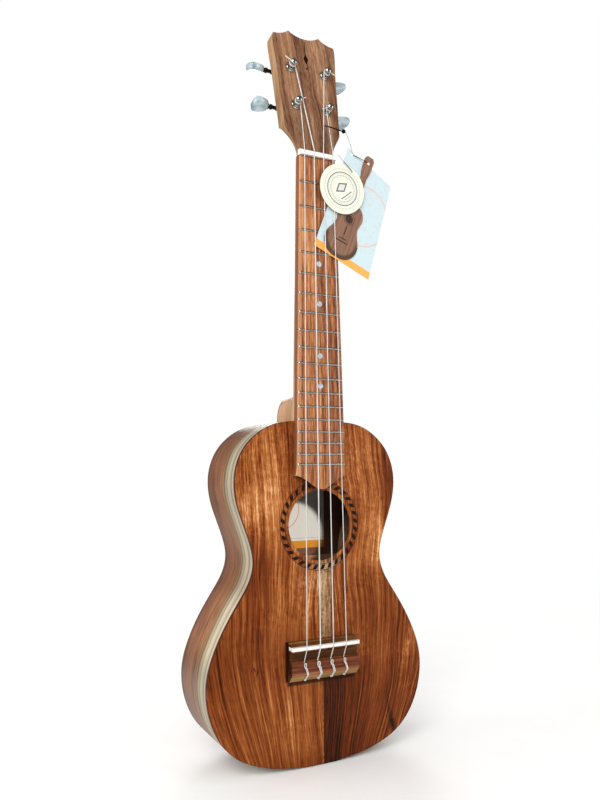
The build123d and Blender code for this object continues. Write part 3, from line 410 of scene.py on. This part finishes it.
def back_wood():
    """Acacia mirrored about the centre joint."""
    x, z = begin("acacia_back", "xz")
    ny, = normal("y")
    across = abs(x)
    flow = across + swing(noise(across * 0.008, 5.0, z * 0.006, 1.5), 30.0)
    broad = noise(flow * 0.05, 1.0, z * 0.0025, 2.0, 0.55)
    streak = noise(flow * 0.25, 5.0, z * 0.006, 3.0, 0.6)
    fine = noise(flow * 1.1, 9.0, z * 0.02, 2.0, 0.6)
    grain = grain_of((broad, 1.5), (streak, 1.0), (fine, 0.6))
    curl = noise(flow * 0.08, 4.0, z * 0.2, 2.0, 0.6)
    fleck = noise(flow * 0.75, 6.0, z * 0.17, 2.0, 0.7)
    pores = step(noise(flow * 1.6, 7.0, z * 0.08, 2.0, 0.55), 0.57, 0.69)
    line = step(noise(flow * 0.42, 11.0, z * 0.0055, 1.0), 0.58, 0.70)
    grain = clamp(grain * 0.62 + 0.20 + swing(curl, 0.22) + swing(fleck, 0.26)
                  - pores * 0.12 - line * 0.14)
    # sapwood at the outer edges, a dark joint on the centre line
    sapwood = step(across + swing(streak, 6.0), 92.0, 104.0)
    color = mix(sapwood * 0.6, gain(ramp(grain, *BROWNS), 1.0), (206, 176, 132))
    color = mix(step(across, 0.35, 0.05) * 0.7, color, (52, 28, 16))
    color = mix(near(ny, 0.75, 0.35) * 0.6, color, (96, 46, 28))
    # the face inside the body is unfinished wood, painted darker as shade
    bare_shaded_inside = ramp(clamp(grain * 0.8 + 0.1), (0.0, 56, 34, 25), (0.5, 86, 57, 43),
                (1.0, 116, 82, 64))
    color = mix(step(ny, -0.5, -0.8), color, bare_shaded_inside)
    return finish(gain(color, FRONT), rough=clamp(0.40 + swing(streak, 0.15)),
                  normal=bump(fine * 0.5 - pores * 0.9, strength=0.2, depth=0.00012),
                  coat=0.02, coat_rough=0.3, specular=0.24, tint=WARM)


def neck_wood():
    x, y, z = begin("neck_hardwood", "xyz")
    flow_x = x + swing(noise(x * 0.02, y * 0.02, z * 0.006, 1.0), 8.0)
    flow_y = y + swing(noise(x * 0.02, y * 0.02 + 7.0, z * 0.006, 1.0), 8.0)
    broad = noise(flow_x * 0.12, flow_y * 0.12, z * 0.004, 2.0, 0.5)
    streak = noise(flow_x * 0.75, flow_y * 0.75, z * 0.012, 3.0, 0.6)
    pores = step(noise(flow_x * 2.4, flow_y * 2.4, z * 0.13, 1.5, 0.6), 0.60, 0.72)
    color = ramp(grain_of((broad, 1.1), (streak, 0.9)), (0.0, 110, 79, 52),
                 (0.35, 144, 108, 76), (0.6, 168, 132, 96), (1.0, 194, 160, 122))
    # the heel is stacked from a slightly pinker block
    color = mix(step(z, -196.0, -206.0) * 0.55, color, (216, 170, 132))
    # a darker block shows along the head's lower corner
    slant = z + y * 0.16
    block = step(slant, 3.0, 9.0) * step(slant + y * 0.9, 44.0, 38.0)
    color = mix(block * 0.55, color, (140, 98, 60))
    return finish(gain(color, 0.96 - pores * 0.26), rough=clamp(0.44 + swing(streak, 0.12)),
                  normal=bump(streak * 0.5 - pores * 0.8, strength=0.14, depth=0.0001),
                  coat=0.05, coat_rough=0.35, specular=0.22)


# Change, x, z, spread in x, spread in z, tilt.
HEAD_SPOTS = (
    (-0.32, -17.0, 30.0, 12.0, 18.0), (-0.36, 16.0, 18.0, 12.0, 16.0),
    (-0.16, 20.0, 112.0, 7.0, 22.0, 0.3), (0.08, 6.0, 96.0, 10.0, 30.0),
    (0.06, -20.0, 110.0, 10.0, 22.0))


def head_wood():
    x, z = begin("acacia_head", "xz")
    ny, = normal("y")
    flow = x + swing(noise(x * 0.012, 2.0, z * 0.010, 2.0), 16.0) + z * 0.05
    broad = noise(flow * 0.085, 3.0, z * 0.004, 2.0, 0.55)
    streak = noise(flow * 0.30, 6.0, z * 0.012, 3.0, 0.62)
    fine = noise(flow * 0.95, 9.0, z * 0.04, 2.0, 0.6)
    fleck = noise(flow * 0.8, 16.0, z * 0.16, 2.0, 0.7)
    base = ramp(grain_of((broad, 1.5), (streak, 1.1), (fine, 0.7), (fleck, 0.7)),
                (0.0, 52, 32, 24), (0.25, 96, 62, 44), (0.5, 141, 97, 69),
                (0.72, 169, 124, 91), (1.0, 206, 166, 130))
    pores = step(noise(flow * 1.6, 7.0, z * 0.10, 2.0, 0.55), 0.57, 0.70)
    tone = add_spots(1.0 - pores * 0.25, x, z, HEAD_SPOTS)
    tone = tone + swing(noise(flow * 0.1, 4.0, z * 0.16, 2.0), 0.22)
    color = gain(base, at_least(tone * FRONT, 0.15))
    color = mix(near(ny, 0.8, 0.4) * 0.55, color, (92, 66, 46))
    return finish(color, rough=clamp(0.38 + swing(streak, 0.15)),
                  normal=bump(fine * 0.5 - pores * 0.9, strength=0.2, depth=0.00012),
                  coat=0.06, coat_rough=0.25, specular=0.22)


def fretboard_wood():
    x, y, z = begin("fretboard_hardwood", "xyz")
    nx, nz = normal("xz")
    flow = x + swing(noise(x * 0.02, 2.0, z * 0.006, 1.0), 8.0) + y * 0.4
    broad = noise(flow * 0.10, 13.0, z * 0.004, 2.0, 0.5)
    streak = noise(flow * 0.42, 16.0, z * 0.010, 3.0, 0.65)
    fine = noise(flow * 0.9, 19.0, z * 0.05, 2.0, 0.65)
    base = ramp(grain_of((broad, 1.2), (streak, 1.5), (fine, 1.25)), (0.0, 66, 30, 18),
                (0.28, 116, 64, 38), (0.5, 164, 101, 61), (0.74, 198, 132, 84),
                (1.0, 226, 166, 114))
    pores = step(noise(flow * 1.4, 7.0, z * 0.10, 2.0, 0.5), 0.56, 0.65)
    played = noise(x * 0.06, 1.0, z * 0.02, 2.0)
    mottle = noise(x * 0.16, 3.0, z * 0.09, 2.0, 0.6)
    color = gain(base, 1.0 - pores * 0.38 + swing(played, 0.20) + swing(mottle, 0.34))
    # painted highlight: a paler streak along the rolled left edge, which widens away from the
    # nut
    half_width = 18.6 + (-z) * 0.0155
    pale = step(x + half_width + swing(streak, 2.0), 3.0, 1.6)
    color = mix(pale * 0.6, color, (208, 154, 112))
    # darker on the right towards the body
    dusk = step(x + swing(streak, 5.0), 5.0, 9.0) * step(z, -120.0, -220.0)
    color = mix(dusk * 0.32, color, (92, 42, 26))
    # sawn sides, and painted shade on the downward-facing lower end
    color = mix(step(abs(nx), 0.75, 0.95) * 0.8, color, (106, 60, 37))
    end = step(nz, -0.25, -0.5) * step(z, -236.0, -242.0)
    color = mix(end * 0.92, color, (30, 14, 9))
    # painted contact shadow: a dark line against the nut
    color = mix(step(z, -2.2, -0.2) * 0.55, color, (44, 24, 16))
    return finish(color, rough=clamp(0.50 + swing(streak, 0.16)),
                  normal=bump(fine * 0.4 - pores * 1.0, strength=0.26, depth=0.00014),
                  specular=0.22)


def bridge_wood():
    """Bands from the soundhole down: tan ramp, dark channel, reddish tie block, tan bevel. The
    channel's darkness is painted shade; the tan of the ramp and the bevel is partly painted
    sheen.
    """
    x, y, z = begin("bridge_hardwood", "xyz")
    nx, nz = normal("xz")
    streak = noise(x * 0.012, y * 0.5, z * 0.42, 3.0, 0.6)
    fine = noise(x * 0.05, y * 1.3, z * 1.3, 2.0, 0.6)
    grain = grain_of((streak, 1.6), (fine, 0.8))
    block = ramp(grain, (0.0, 40, 17, 12), (0.3, 76, 36, 25), (0.55, 108, 55, 38),
                 (0.8, 136, 76, 51), (1.0, 166, 102, 70))
    # the tan bevel colour is partly painted sheen
    bevel = ramp(grain, (0.0, 104, 70, 40), (0.3, 138, 98, 58), (0.6, 166, 124, 76),
                 (1.0, 200, 160, 108))
    channel = ramp(grain, (0.0, 46, 22, 11), (0.5, 92, 50, 26), (1.0, 140, 90, 50))
    mottle = noise(x * 0.06, 3.0, z * 0.3, 2.0)
    # the tan ramp colour is partly painted sheen
    slope = ramp(clamp(grain + swing(mottle, 1.2)), (0.0, 70, 40, 20), (0.4, 104, 66, 36),
                 (0.7, 134, 94, 54), (1.0, 170, 128, 82))
    # painted shade: the channel and the ramp just behind the saddle take the dark channel colour
    color = mix(step(z, -440.4, -441.6), slope, channel)
    color = mix(step(z, -436.6, -438.0) * step(z, -441.0, -440.0) * 0.5, color, channel)
    color = mix(step(z, -449.8, -450.8), color, block)
    color = mix(step(z, -459.2, -460.2), color, bevel)
    # shading: channel floor, ends, foot, and the low face towards the tail
    floor = step(y, -7.2, -6.0) * step(z, -440.8, -442.4) * step(z, -450.6, -449.4)
    color = mix(floor * 0.35, color, (40, 20, 13))
    color = mix(step(abs(nx), 0.6, 0.9) * 0.85, color, (44, 22, 14))
    color = mix(step(y, -2.2, -0.8) * 0.85, color, (20, 9, 5))
    color = mix(step(nz, -0.5, -0.9) * step(y, -4.2, -3.2) * 0.8, color, (24, 11, 6))
    pores = step(noise(x * 0.11, y * 1.8, z * 1.8, 2.0, 0.5), 0.57, 0.70)
    return finish(gain(color, (1.0 - pores * 0.34) * 0.93),
                  rough=clamp(0.46 + swing(streak, 0.14)),
                  normal=bump(fine * 0.4 - pores * 0.9, strength=0.22, depth=0.00012),
                  specular=0.24, tint=WARM)


def pale_wood(name, brightness, stain):
    """Unfinished wood inside the body; stain mixes in brown."""
    x, y, z = begin(name, "xyz")
    upright = noise(x * 0.5, y * 0.5, z * 0.01, 3.0, 0.6)
    crosswise = noise(x * 0.01, y * 0.6, z * 0.5, 3.0, 0.6)
    grain = grain_of((upright, 0.9), (crosswise, 0.9))
    color = ramp(grain, (0.0, 158, 122, 84), (0.5, 192, 158, 116), (1.0, 216, 188, 148))
    return finish(gain(mix(stain, color, (128, 86, 58)), brightness), rough=0.7,
                  normal=bump(grain, strength=0.2, depth=0.0001), specular=0.25)


def tag_wood():
    """Thin cut tag: burnt edge, engraved sound hole, bridge bars and fret lines."""
    x, z = begin("cut_wood_tag", "xz")
    ny, = normal("y")
    # across and up are the tag's own axes, from its foot
    lean = math.radians(21.6)
    dx, dz = x - 16.9, z + 89.9
    across = dx * math.cos(lean) - dz * math.sin(lean)
    up = dx * math.sin(lean) + dz * math.cos(lean)
    streak = noise(across * 0.5, 2.0, up * 0.012, 3.0, 0.6)
    fine = noise(across * 1.8, 5.0, up * 0.05, 2.0, 0.6)
    color = ramp(grain_of((streak, 1.2), (fine, 0.9)), (0.0, 82, 55, 42),
                 (0.4, 126, 91, 71), (0.65, 146, 108, 86), (1.0, 170, 131, 106))
    # smoke darkens the outline of the body
    from_body = root(across * across + (up - 17.0) * (up - 17.0) * 1.05)
    smoke = step(from_body, 13.2, 16.0) * step(up, 22.0, 16.0)
    color = mix(smoke * 0.7, color, (46, 28, 20))
    from_hole = root(across * across + (up - 39.0) * (up - 39.0))
    hole = step(from_hole, 4.3, 3.9)
    ring = near(from_hole - 5.4, 0.45, 0.25)
    bars = (near(across, 6.6, 6.2) * near(up - 15.5, 0.8, 0.5)
            + near(across, 4.2, 3.9) * near(up - 18.6, 0.7, 0.4)
            + near(across, 0.7, 0.45) * step(up, 21.5, 22.5) * step(up, 32.0, 31.0))
    fret_lines = (near(calc("FRACT", up / 4.6) - 0.5, 0.09, 0.05) * near(across, 2.6, 2.3)
                  * step(up, 55.0, 57.0) * step(up, 86.0, 84.0))
    ink = clamp(hole * 0.85 + ring * 0.6 + bars * 0.85 + fret_lines * 0.6)
    color = mix(ink, color, (38, 26, 20))
    color = mix(near(ny, 0.8, 0.4) * 0.9, color, (36, 22, 15))
    return finish(color, rough=0.6, specular=0.3,
                  normal=bump(fine * 0.4 - ink * 1.2, strength=0.35, depth=0.00012))


# ------------------------------------------------------------------ rosette
def rosette_pale():
    """The inlaid ring: the top's acacia, with a thin dark line along both edges."""
    x, z = begin("rosette_acacia", "xz")
    dx, dz = x - X_HOLE, z - (Z_HOLE - Z_NUT)
    radius = root(dx * dx + dz * dz)
    tone, _, fine, pores, _ = board(x, z, left=True)
    color = ramp(clamp(tone * 0.85 + 0.07), *BROWNS)
    lines = near(radius - 34.9, 0.45, 0.2) + near(radius - 39.6, 0.45, 0.2)
    color = mix(lines * 0.35, color, (70, 34, 18))
    pale = blob(x, z, 8.0, -371.0, 13.0, 8.0)
    color = mix(pale * 0.75, color, (204, 172, 134))
    return finish(gain(color, FRONT), rough=0.42,
                  normal=bump(fine - pores, strength=0.15, depth=0.0001),
                  specular=0.22, tint=WARM, coat=0.02, coat_rough=0.3)


def rosette_dark():
    patches = even_noise(begin("dyed_black_veneer", "xyz"), 1.4, 3.0, 0.6)
    return finish(ramp(patches, (0.3, 9, 7, 6), (0.7, 27, 19, 15)),
                  rough=clamp(0.46 + swing(patches, 0.1)),
                  normal=bump(patches, strength=0.1, depth=0.00008),
                  specular=0.2, tint=WARM)


# ------------------------------------------------------------------ hard parts
def nickel(name, rgb, rough):
    x, y, z = begin(name, "xyz")
    patches = even_noise((x, y, z), 0.9, 3.0, 0.6)
    brushing = noise(x * 0.4, y * 6.0, z * 6.0, 2.0, 0.6)
    dull = (int(c * 0.90) for c in rgb)
    return finish(ramp(patches, (0.3, *dull), (0.7, *rgb)),
                  rough=clamp(rough + swing(patches, 0.16) + swing(brushing, 0.10)),
                  normal=bump(brushing, strength=0.04, depth=0.00005), metallic=1.0)


def fret_metal():
    x, y, z = begin("fret_nickel_silver", "xyz")
    brushing = noise(x * 0.25, y * 5.0, z * 5.0, 3.0, 0.6)
    worn = noise(x * 0.5, 3.0, z * 0.03, 2.0)
    return finish(ramp(brushing, (0.3, 150, 148, 142), (0.7, 202, 200, 192)),
                  rough=clamp(0.24 + swing(brushing, 0.16) + swing(worn, 0.16)),
                  normal=bump(brushing, strength=0.08, depth=0.00005), metallic=1.0)


def brass():
    patches = even_noise(begin("cut_brass", "xyz"), 0.8, 3.0, 0.6)
    color = ramp(patches, (0.3, 150, 112, 52), (0.55, 196, 154, 82), (0.75, 212, 172, 100))
    return finish(color, rough=clamp(0.28 + swing(patches, 0.2)),
                  normal=bump(patches, strength=0.05, depth=0.00005), metallic=1.0)


def black_metal():
    patches = even_noise(begin("black_plated_steel", "xyz"), 1.2, 3.0, 0.6)
    color = ramp(patches, (0.3, 14, 14, 15), (0.7, 34, 34, 36), (0.85, 70, 70, 72))
    return finish(color, rough=clamp(0.26 + swing(patches, 0.2)),
                  normal=bump(patches, strength=0.05, depth=0.00006),
                  metallic=0.55, specular=0.6)


def pearl_button():
    """Imitation pearl: folded layers of silver, blue and grey."""
    x, y, z = begin("button_pearl", "xyz")
    fold = noise(x * 0.05, y * 0.06, z * 0.05, 1.0, 0.4, distort=0.5)
    layers = noise(x * 0.09 + fold * 1.2, y * 0.12, z * 0.10 - fold * 1.2, 1.0, 0.4,
                   distort=0.3)
    color = ramp(layers, (0.25, 128, 148, 154), (0.42, 152, 172, 178),
                 (0.54, 174, 192, 198), (0.66, 192, 210, 218), (0.8, 218, 230, 234))
    return finish(color, rough=clamp(0.16 + swing(fold, 0.12)),
                  normal=bump(layers, strength=0.06, depth=0.0001),
                  coat=0.5, coat_rough=0.08, metallic=0.12, specular=0.6)


def pearl_dot():
    layers = even_noise(begin("dot_pearl", "xyz"), 0.5, distort=2.0)
    color = ramp(layers, (0.3, 130, 158, 176), (0.5, 172, 192, 204), (0.7, 214, 224, 228))
    return finish(color, rough=0.2, normal=bump(layers, strength=0.05, depth=0.00005),
                  coat=0.4, coat_rough=0.1)


def bone():
    x, y, z = begin("white_bone", "xyz")
    streak = noise(x * 0.04, y * 0.3, z * 0.3, 3.0, 0.6)
    fine = noise(x * 0.8, y * 1.5, z * 1.5, 2.0, 0.6)
    color = ramp(streak, (0.25, 232, 229, 220), (0.5, 246, 244, 238), (0.8, 252, 251, 248))
    return finish(color, rough=clamp(0.34 + swing(fine, 0.1)),
                  normal=bump(fine, strength=0.06, depth=0.00006),
                  subsurface=0.12, subsurface_scale=0.002, specular=0.5)


def string_stuff():
    x, y, z = begin("string_polymer", "xyz")
    streak = noise(x * 0.8, y * 0.8, z * 0.04, 2.0, 0.6)
    fine = noise(x * 2.0, y * 2.0, z * 0.9, 2.0, 0.6)
    color = ramp(streak, (0.3, 190, 189, 184), (0.6, 216, 215, 211), (0.8, 232, 231, 228))
    return finish(color, rough=clamp(0.3 + swing(fine, 0.14)),
                  normal=bump(fine, strength=0.05, depth=0.00005),
                  specular=0.55, subsurface=0.1, subsurface_scale=0.001)


def cord_stuff():
    x, y, z = begin("black_cord", "xyz")
    twist = calc("SINE", (x * 1.0 + y * 1.6 + z * 1.2) * 5.5)
    fuzz = even_noise((x, y, z), 3.0, 3.0, 0.7)
    color = ramp(twist * 0.35 + fuzz * 0.6, (0.1, 4, 4, 5), (0.6, 14, 14, 14),
                 (0.95, 34, 33, 32))
    # two pale stretches: one just above the nut, one left of x = 25.5 and lower down
    pale = step(z, 31.4, 29.6) * step(z, 8.5, 9.3) + step(x, 25.5, 23.0) * step(z, 7.0, 6.0)
    color = mix(clamp(pale) * 0.8, color, (188, 190, 190))
    return finish(color, rough=0.8, specular=0.15,
                  normal=bump(twist + fuzz, strength=0.5, depth=0.0002))


# ------------------------------------------------------------------ paper
def paper_round():
    """Card disc printed with rings, short dashes, a diamond and two bars."""
    x, y, z = begin("card_disc", "xyz")
    ny, = normal("y")
    dx, dz = x - 23.2, z + 27.0
    radius = root(dx * dx + dz * dz)
    angle = calc("ARCTAN2", dz, dx)
    fibre = even_noise((x, y, z), 2.0, 3.0, 0.6)
    base = ramp(fibre, (0.3, 222, 223, 204), (0.7, 232, 233, 216))

    def dashes(count, ring_radius, outer, inner):
        gaps = step(calc("FRACT", angle * (count / math.tau)), 0.45, 0.55)
        return gaps * near(radius - ring_radius, outer, inner)

    rings = near(radius - 15.6, 0.5, 0.3)
    rings = rings + near(radius - 14.4, 0.26, 0.12) * 0.5
    dashed = dashes(76.0, 18.7, 0.65, 0.4) * 0.45 + dashes(46.0, 12.3, 0.9, 0.6) * 0.6
    # the diamond and bars are turned by this angle
    turn = math.radians(38)
    across = dx * math.cos(turn) + dz * math.sin(turn)
    up = dz * math.cos(turn) - dx * math.sin(turn)

    def rhombus(outer, inner):
        return step(abs(across) * 0.62 + abs(up - 1.5), outer, inner)

    diamond = rhombus(5.0, 4.6) - rhombus(3.6, 3.2) * 0.85
    bars = (near(up + 7.0, 0.55, 0.35) * near(across, 7.0, 6.6)
            + near(up + 9.4, 0.4, 0.25) * near(across, 4.6, 4.2) * 0.6)
    ink = clamp(rings + dashed + diamond + bars)
    color = mix(ink * step(ny, -0.5, -0.8) * 0.9, base, (44, 60, 96))
    return finish(color, rough=0.5, specular=0.4,
                  normal=bump(fibre, strength=0.08, depth=0.00005))


def paper_card():
    """Pale blue card: scattered specks, thin rings, an orange band along its lower edge."""
    x, y, z = begin("card_pale_blue", "xyz")
    ny, = normal("y")
    # ends of the card's lower edge, then coordinates along and up from it
    x0, z0, x1, z1 = -5.8, -81.9, 51.6, -108.0
    length = math.hypot(x1 - x0, z1 - z0)
    ux, uz = (x1 - x0) / length, (z1 - z0) / length
    along = (x - x0) * ux + (z - z0) * uz
    up = (z - z0) * ux - (x - x0) * uz
    fibre = even_noise((x, y, z), 1.5, 3.0, 0.6)
    cells = Value(add("TexVoronoi", {
        "Vector": vector(x * 0.20, 4.0, z * 0.20), "Scale": 1.0}).outputs[0])
    specks = (step(cells, 0.50, 0.32)
              * step(noise(x * 0.8, 4.0, z * 0.8, 2.0, 0.7), 0.44, 0.56))
    color = ramp(fibre, (0.3, 190, 211, 217), (0.7, 202, 221, 226))
    color = mix(specks * 0.8, color, (200, 202, 200))
    radius = root((along - 33.0) * (along - 33.0) + (up - 52.0) * (up - 52.0))
    rings = near(radius - 29.0, 0.55, 0.3) + near(radius - 27.2, 0.35, 0.2) * 0.5
    color = mix(rings * 0.8, color, (222, 168, 140))
    color = mix(step(up, 7.2, 6.8) * step(ny, -0.5, -0.8), color, (238, 168, 70))
    return finish(color, rough=0.36, specular=0.5,
                  normal=bump(fibre, strength=0.06, depth=0.00005))


def paper_label():
    """Label inside the back: off-white, ruled lines, a ring, an orange band at the foot."""
    x, z = begin("label_paper", "xz")
    foot = LABEL_FOOT
    fibre = noise(x * 1.2, 2.0, z * 1.2, 3.0, 0.6)
    color = ramp(fibre, (0.3, 214, 208, 196), (0.7, 230, 226, 216))
    stripes = near(calc("FRACT", x / 3.2) - 0.5, 0.06, 0.02)
    color = mix(stripes * 0.16, color, (150, 140, 125))
    radius = root((x + 6.0) * (x + 6.0) + (z - foot - 38.0) * (z - foot - 38.0))
    color = mix(near(radius - 19.0, 0.6, 0.35) * 0.75, color, (206, 122, 60))
    color = mix(step(z, foot + 7.4, foot + 7.0), color, (214, 140, 48))
    rule = near(z - (foot + 9.6), 0.35, 0.2)
    # painted shade: the whole label is darkened to stand for the dim light inside the body
    color = gain(mix(rule * 0.5, color, (120, 110, 100)), 0.42)
    return finish(color, rough=0.6, specular=0.3,
                  normal=bump(fibre, strength=0.06, depth=0.00005))


# ------------------------------------------------------------------ dressing the pieces
MATERIALS = {}


def dress(pieces, material):
    """Give pieces a material; a name ending in _ stands for one piece per string."""
    for piece in pieces.split():
        for string in "gcea" if piece.endswith("_") else ("",):
            MATERIALS[piece + string] = material


dress("soundboard_left", top_wood("left"))
dress("soundboard_right", top_wood("right"))
dress("neck", neck_wood())
dress("head_veneer", head_wood())
dress("fretboard", fretboard_wood())
dress("bridge", bridge_wood())
dress("label", paper_label())
dress("tag_card", paper_card())
dress("tag_round", paper_round())
dress("tag_wood", tag_wood())
dress("tag_cord", cord_stuff())
dress("rosette_band", rosette_pale())
dress("frets", fret_metal())
dress("fret_markers", pearl_dot())
dress("side_left side_right", side_wood())
dress("back_left back_right heel_cap", back_wood())
dress("neck_block tail_block linings bridge_patch top_braces",
      pale_wood("spruce_inside", brightness=0.75, stain=0.0))
dress("rosette_inlay head_inlay", rosette_dark())
dress("nut saddle", bone())
dress("string_ winding_", string_stuff())
dress("tuner_plates tuner_plate_screws gear_screw_",
      nickel("nickel", rgb=(206, 206, 202), rough=0.17))
dress("tuner_bushings tuner_post_", nickel("nickel_post", rgb=(206, 205, 198), rough=0.10))
dress("tuner_gear_", brass())
dress("tuner_worm_", black_metal())
dress("tuner_button_", pearl_button())
dress("back_braces", pale_wood("brace_wood", brightness=0.7, stain=0.85))

for name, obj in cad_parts.items():
    for slot in obj.material_slots:
        slot.material = MATERIALS[name]
    if not obj.material_slots:
        obj.data.materials.append(MATERIALS[name])

# ------------------------------------------------------------------ floor
FLOOR_RADII = (0.3, 0.7, 1.3, 2.2, 4.0, 8.0)
FLOOR_SEGMENTS = 72
FLOOR_Z = -0.0004
scene = bpy.context.scene


def floor_mesh():
    """A flat disc of concentric rings."""
    disc = bmesh.new()
    inner = [disc.verts.new((0, 0, 0))]
    for radius in FLOOR_RADII:
        outer = []
        for i in range(FLOOR_SEGMENTS):
            angle = math.tau * i / FLOOR_SEGMENTS
            outer.append(disc.verts.new((radius * math.cos(angle), radius * math.sin(angle), 0)))
        for i in range(FLOOR_SEGMENTS):
            j = (i + 1) % FLOOR_SEGMENTS
            if len(inner) == 1:
                disc.faces.new((inner[0], outer[i], outer[j]))
            else:
                disc.faces.new((inner[i], outer[i], outer[j], inner[j]))
        inner = outer
    mesh = bpy.data.meshes.new("floor")
    disc.to_mesh(mesh)
    disc.free()
    return mesh


def floor_paint():
    """White floor that fades into plain white light, dimmed in reflections."""
    x, y = begin("studio_floor", "xy")
    fade = step(root(x * x + (y + Y_TOP) * (y + Y_TOP)), 320.0, 1100.0)
    mottle = noise(x * 0.02, y * 0.02, 0.0, 3.0, 0.6)
    surface = principled(ramp(mottle, (0.3, 247, 247, 246), (0.7, 249, 249, 248)),
                         rough=0.8, specular=0.1)
    glossy = Value(add("LightPath", {}).outputs["Is Glossy Ray"])
    glow = add("Emission", {0: WHITE, 1: 1.0 - glossy * 0.8}).outputs[0]
    return output(add("MixShader", {0: fade, 1: surface, 2: glow}).outputs[0])


floor = bpy.data.objects.new("floor", floor_mesh())
floor.location.z = FLOOR_Z
scene.collection.objects.link(floor)
floor.data.materials.append(floor_paint())

# ------------------------------------------------------------------ world
AMBIENT = 0.62      # light on the pieces
BACKDROP = 1.0      # what the camera sees
REFLECTED = 0.13    # a dim studio in reflections, so polished metal keeps its contrast


def background(strength):
    return add("Background", {0: WHITE, 1: strength}).outputs[0]


world = bpy.data.worlds.new("studio")
scene.world = world
world.use_nodes = True
tree = world.node_tree
tree.nodes.clear()
rays = add("LightPath", {}).outputs
seen = add("MixShader", {
    0: rays["Is Camera Ray"], 1: background(AMBIENT), 2: background(BACKDROP)}).outputs[0]
sky = add("MixShader", {
    0: rays["Is Glossy Ray"], 1: seen, 2: background(REFLECTED)}).outputs[0]
add("OutputWorld", {0: sky})


# ------------------------------------------------------------------ lights
def light(name, shape, size, power, color, location, direction):
    """An area light shining along direction."""
    lamp = bpy.data.lights.new(name, "AREA")
    lamp.shape = shape
    lamp.size = size
    lamp.energy = power
    lamp.color = color
    holder = bpy.data.objects.new(name, lamp)
    holder.location = location
    holder.rotation_euler = direction.to_track_quat("-Z", "Y").to_euler()
    scene.collection.objects.link(holder)
    return holder


# Name, location, target, size (metres), power (watts), colour.
STUDIO_LIGHTS = (
    ("key", (-0.95, -1.05, 1.15), (0, 0, 0.32), 0.9, 16.0, (1.0, 0.985, 0.96)),
    ("fill", (1.25, -1.15, 0.55), (0, 0, 0.30), 1.0, 6.5, (0.97, 0.985, 1.0)),
    ("left", (-1.3, 0.25, 0.5), (0, 0.02, 0.25), 0.8, 6.0, (1, 1, 1)),
    ("back", (0.7, 1.3, 1.0), (0, 0, 0.35), 0.8, 9.0, (1, 1, 1)))
for name, location, target, size, power, color in STUDIO_LIGHTS:
    panel = light(name, "RECTANGLE", size, power, color, location,
                  Vector(target) - Vector(location))
    panel.data.size_y = size

# light that falls through the soundhole onto the label and the back behind it
beam = light("through_hole", "DISK", size=0.058, power=0.0175, color=(1.0, 0.99, 0.97),
             location=Vector((X_HOLE / MM, top_low.y + 0.0025, Z_HOLE / MM)),
             direction=Vector((0.13, 1.0, -0.21)).normalized())
beam.data.spread = math.radians(7.0)
beam.visible_camera = False
beam.visible_glossy = False

# ------------------------------------------------------------------ camera
camera = bpy.data.cameras.new("photo_view")
viewer = bpy.data.objects.new("photo_view", camera)
scene.collection.objects.link(viewer)
# rotation in the first three columns, position in the last
viewer.matrix_world = Matrix((
    (0.90234333, -0.01684141, -0.43068883, -0.31507629),
    (-0.43091711, -0.05686533, -0.90059799, -0.58717626),
    (-0.00932392, 0.99823982, -0.05856931, 0.26045609),
    (0, 0, 0, 1)))
camera.sensor_width = 36.0
camera.lens = 32.137718
camera.shift_x, camera.shift_y = 0.0365167, 0.0312802
camera.clip_start, camera.clip_end = 0.02, 60.0
scene.camera = viewer
scene.view_settings.view_transform = "Standard"
scene.view_settings.look = "None"
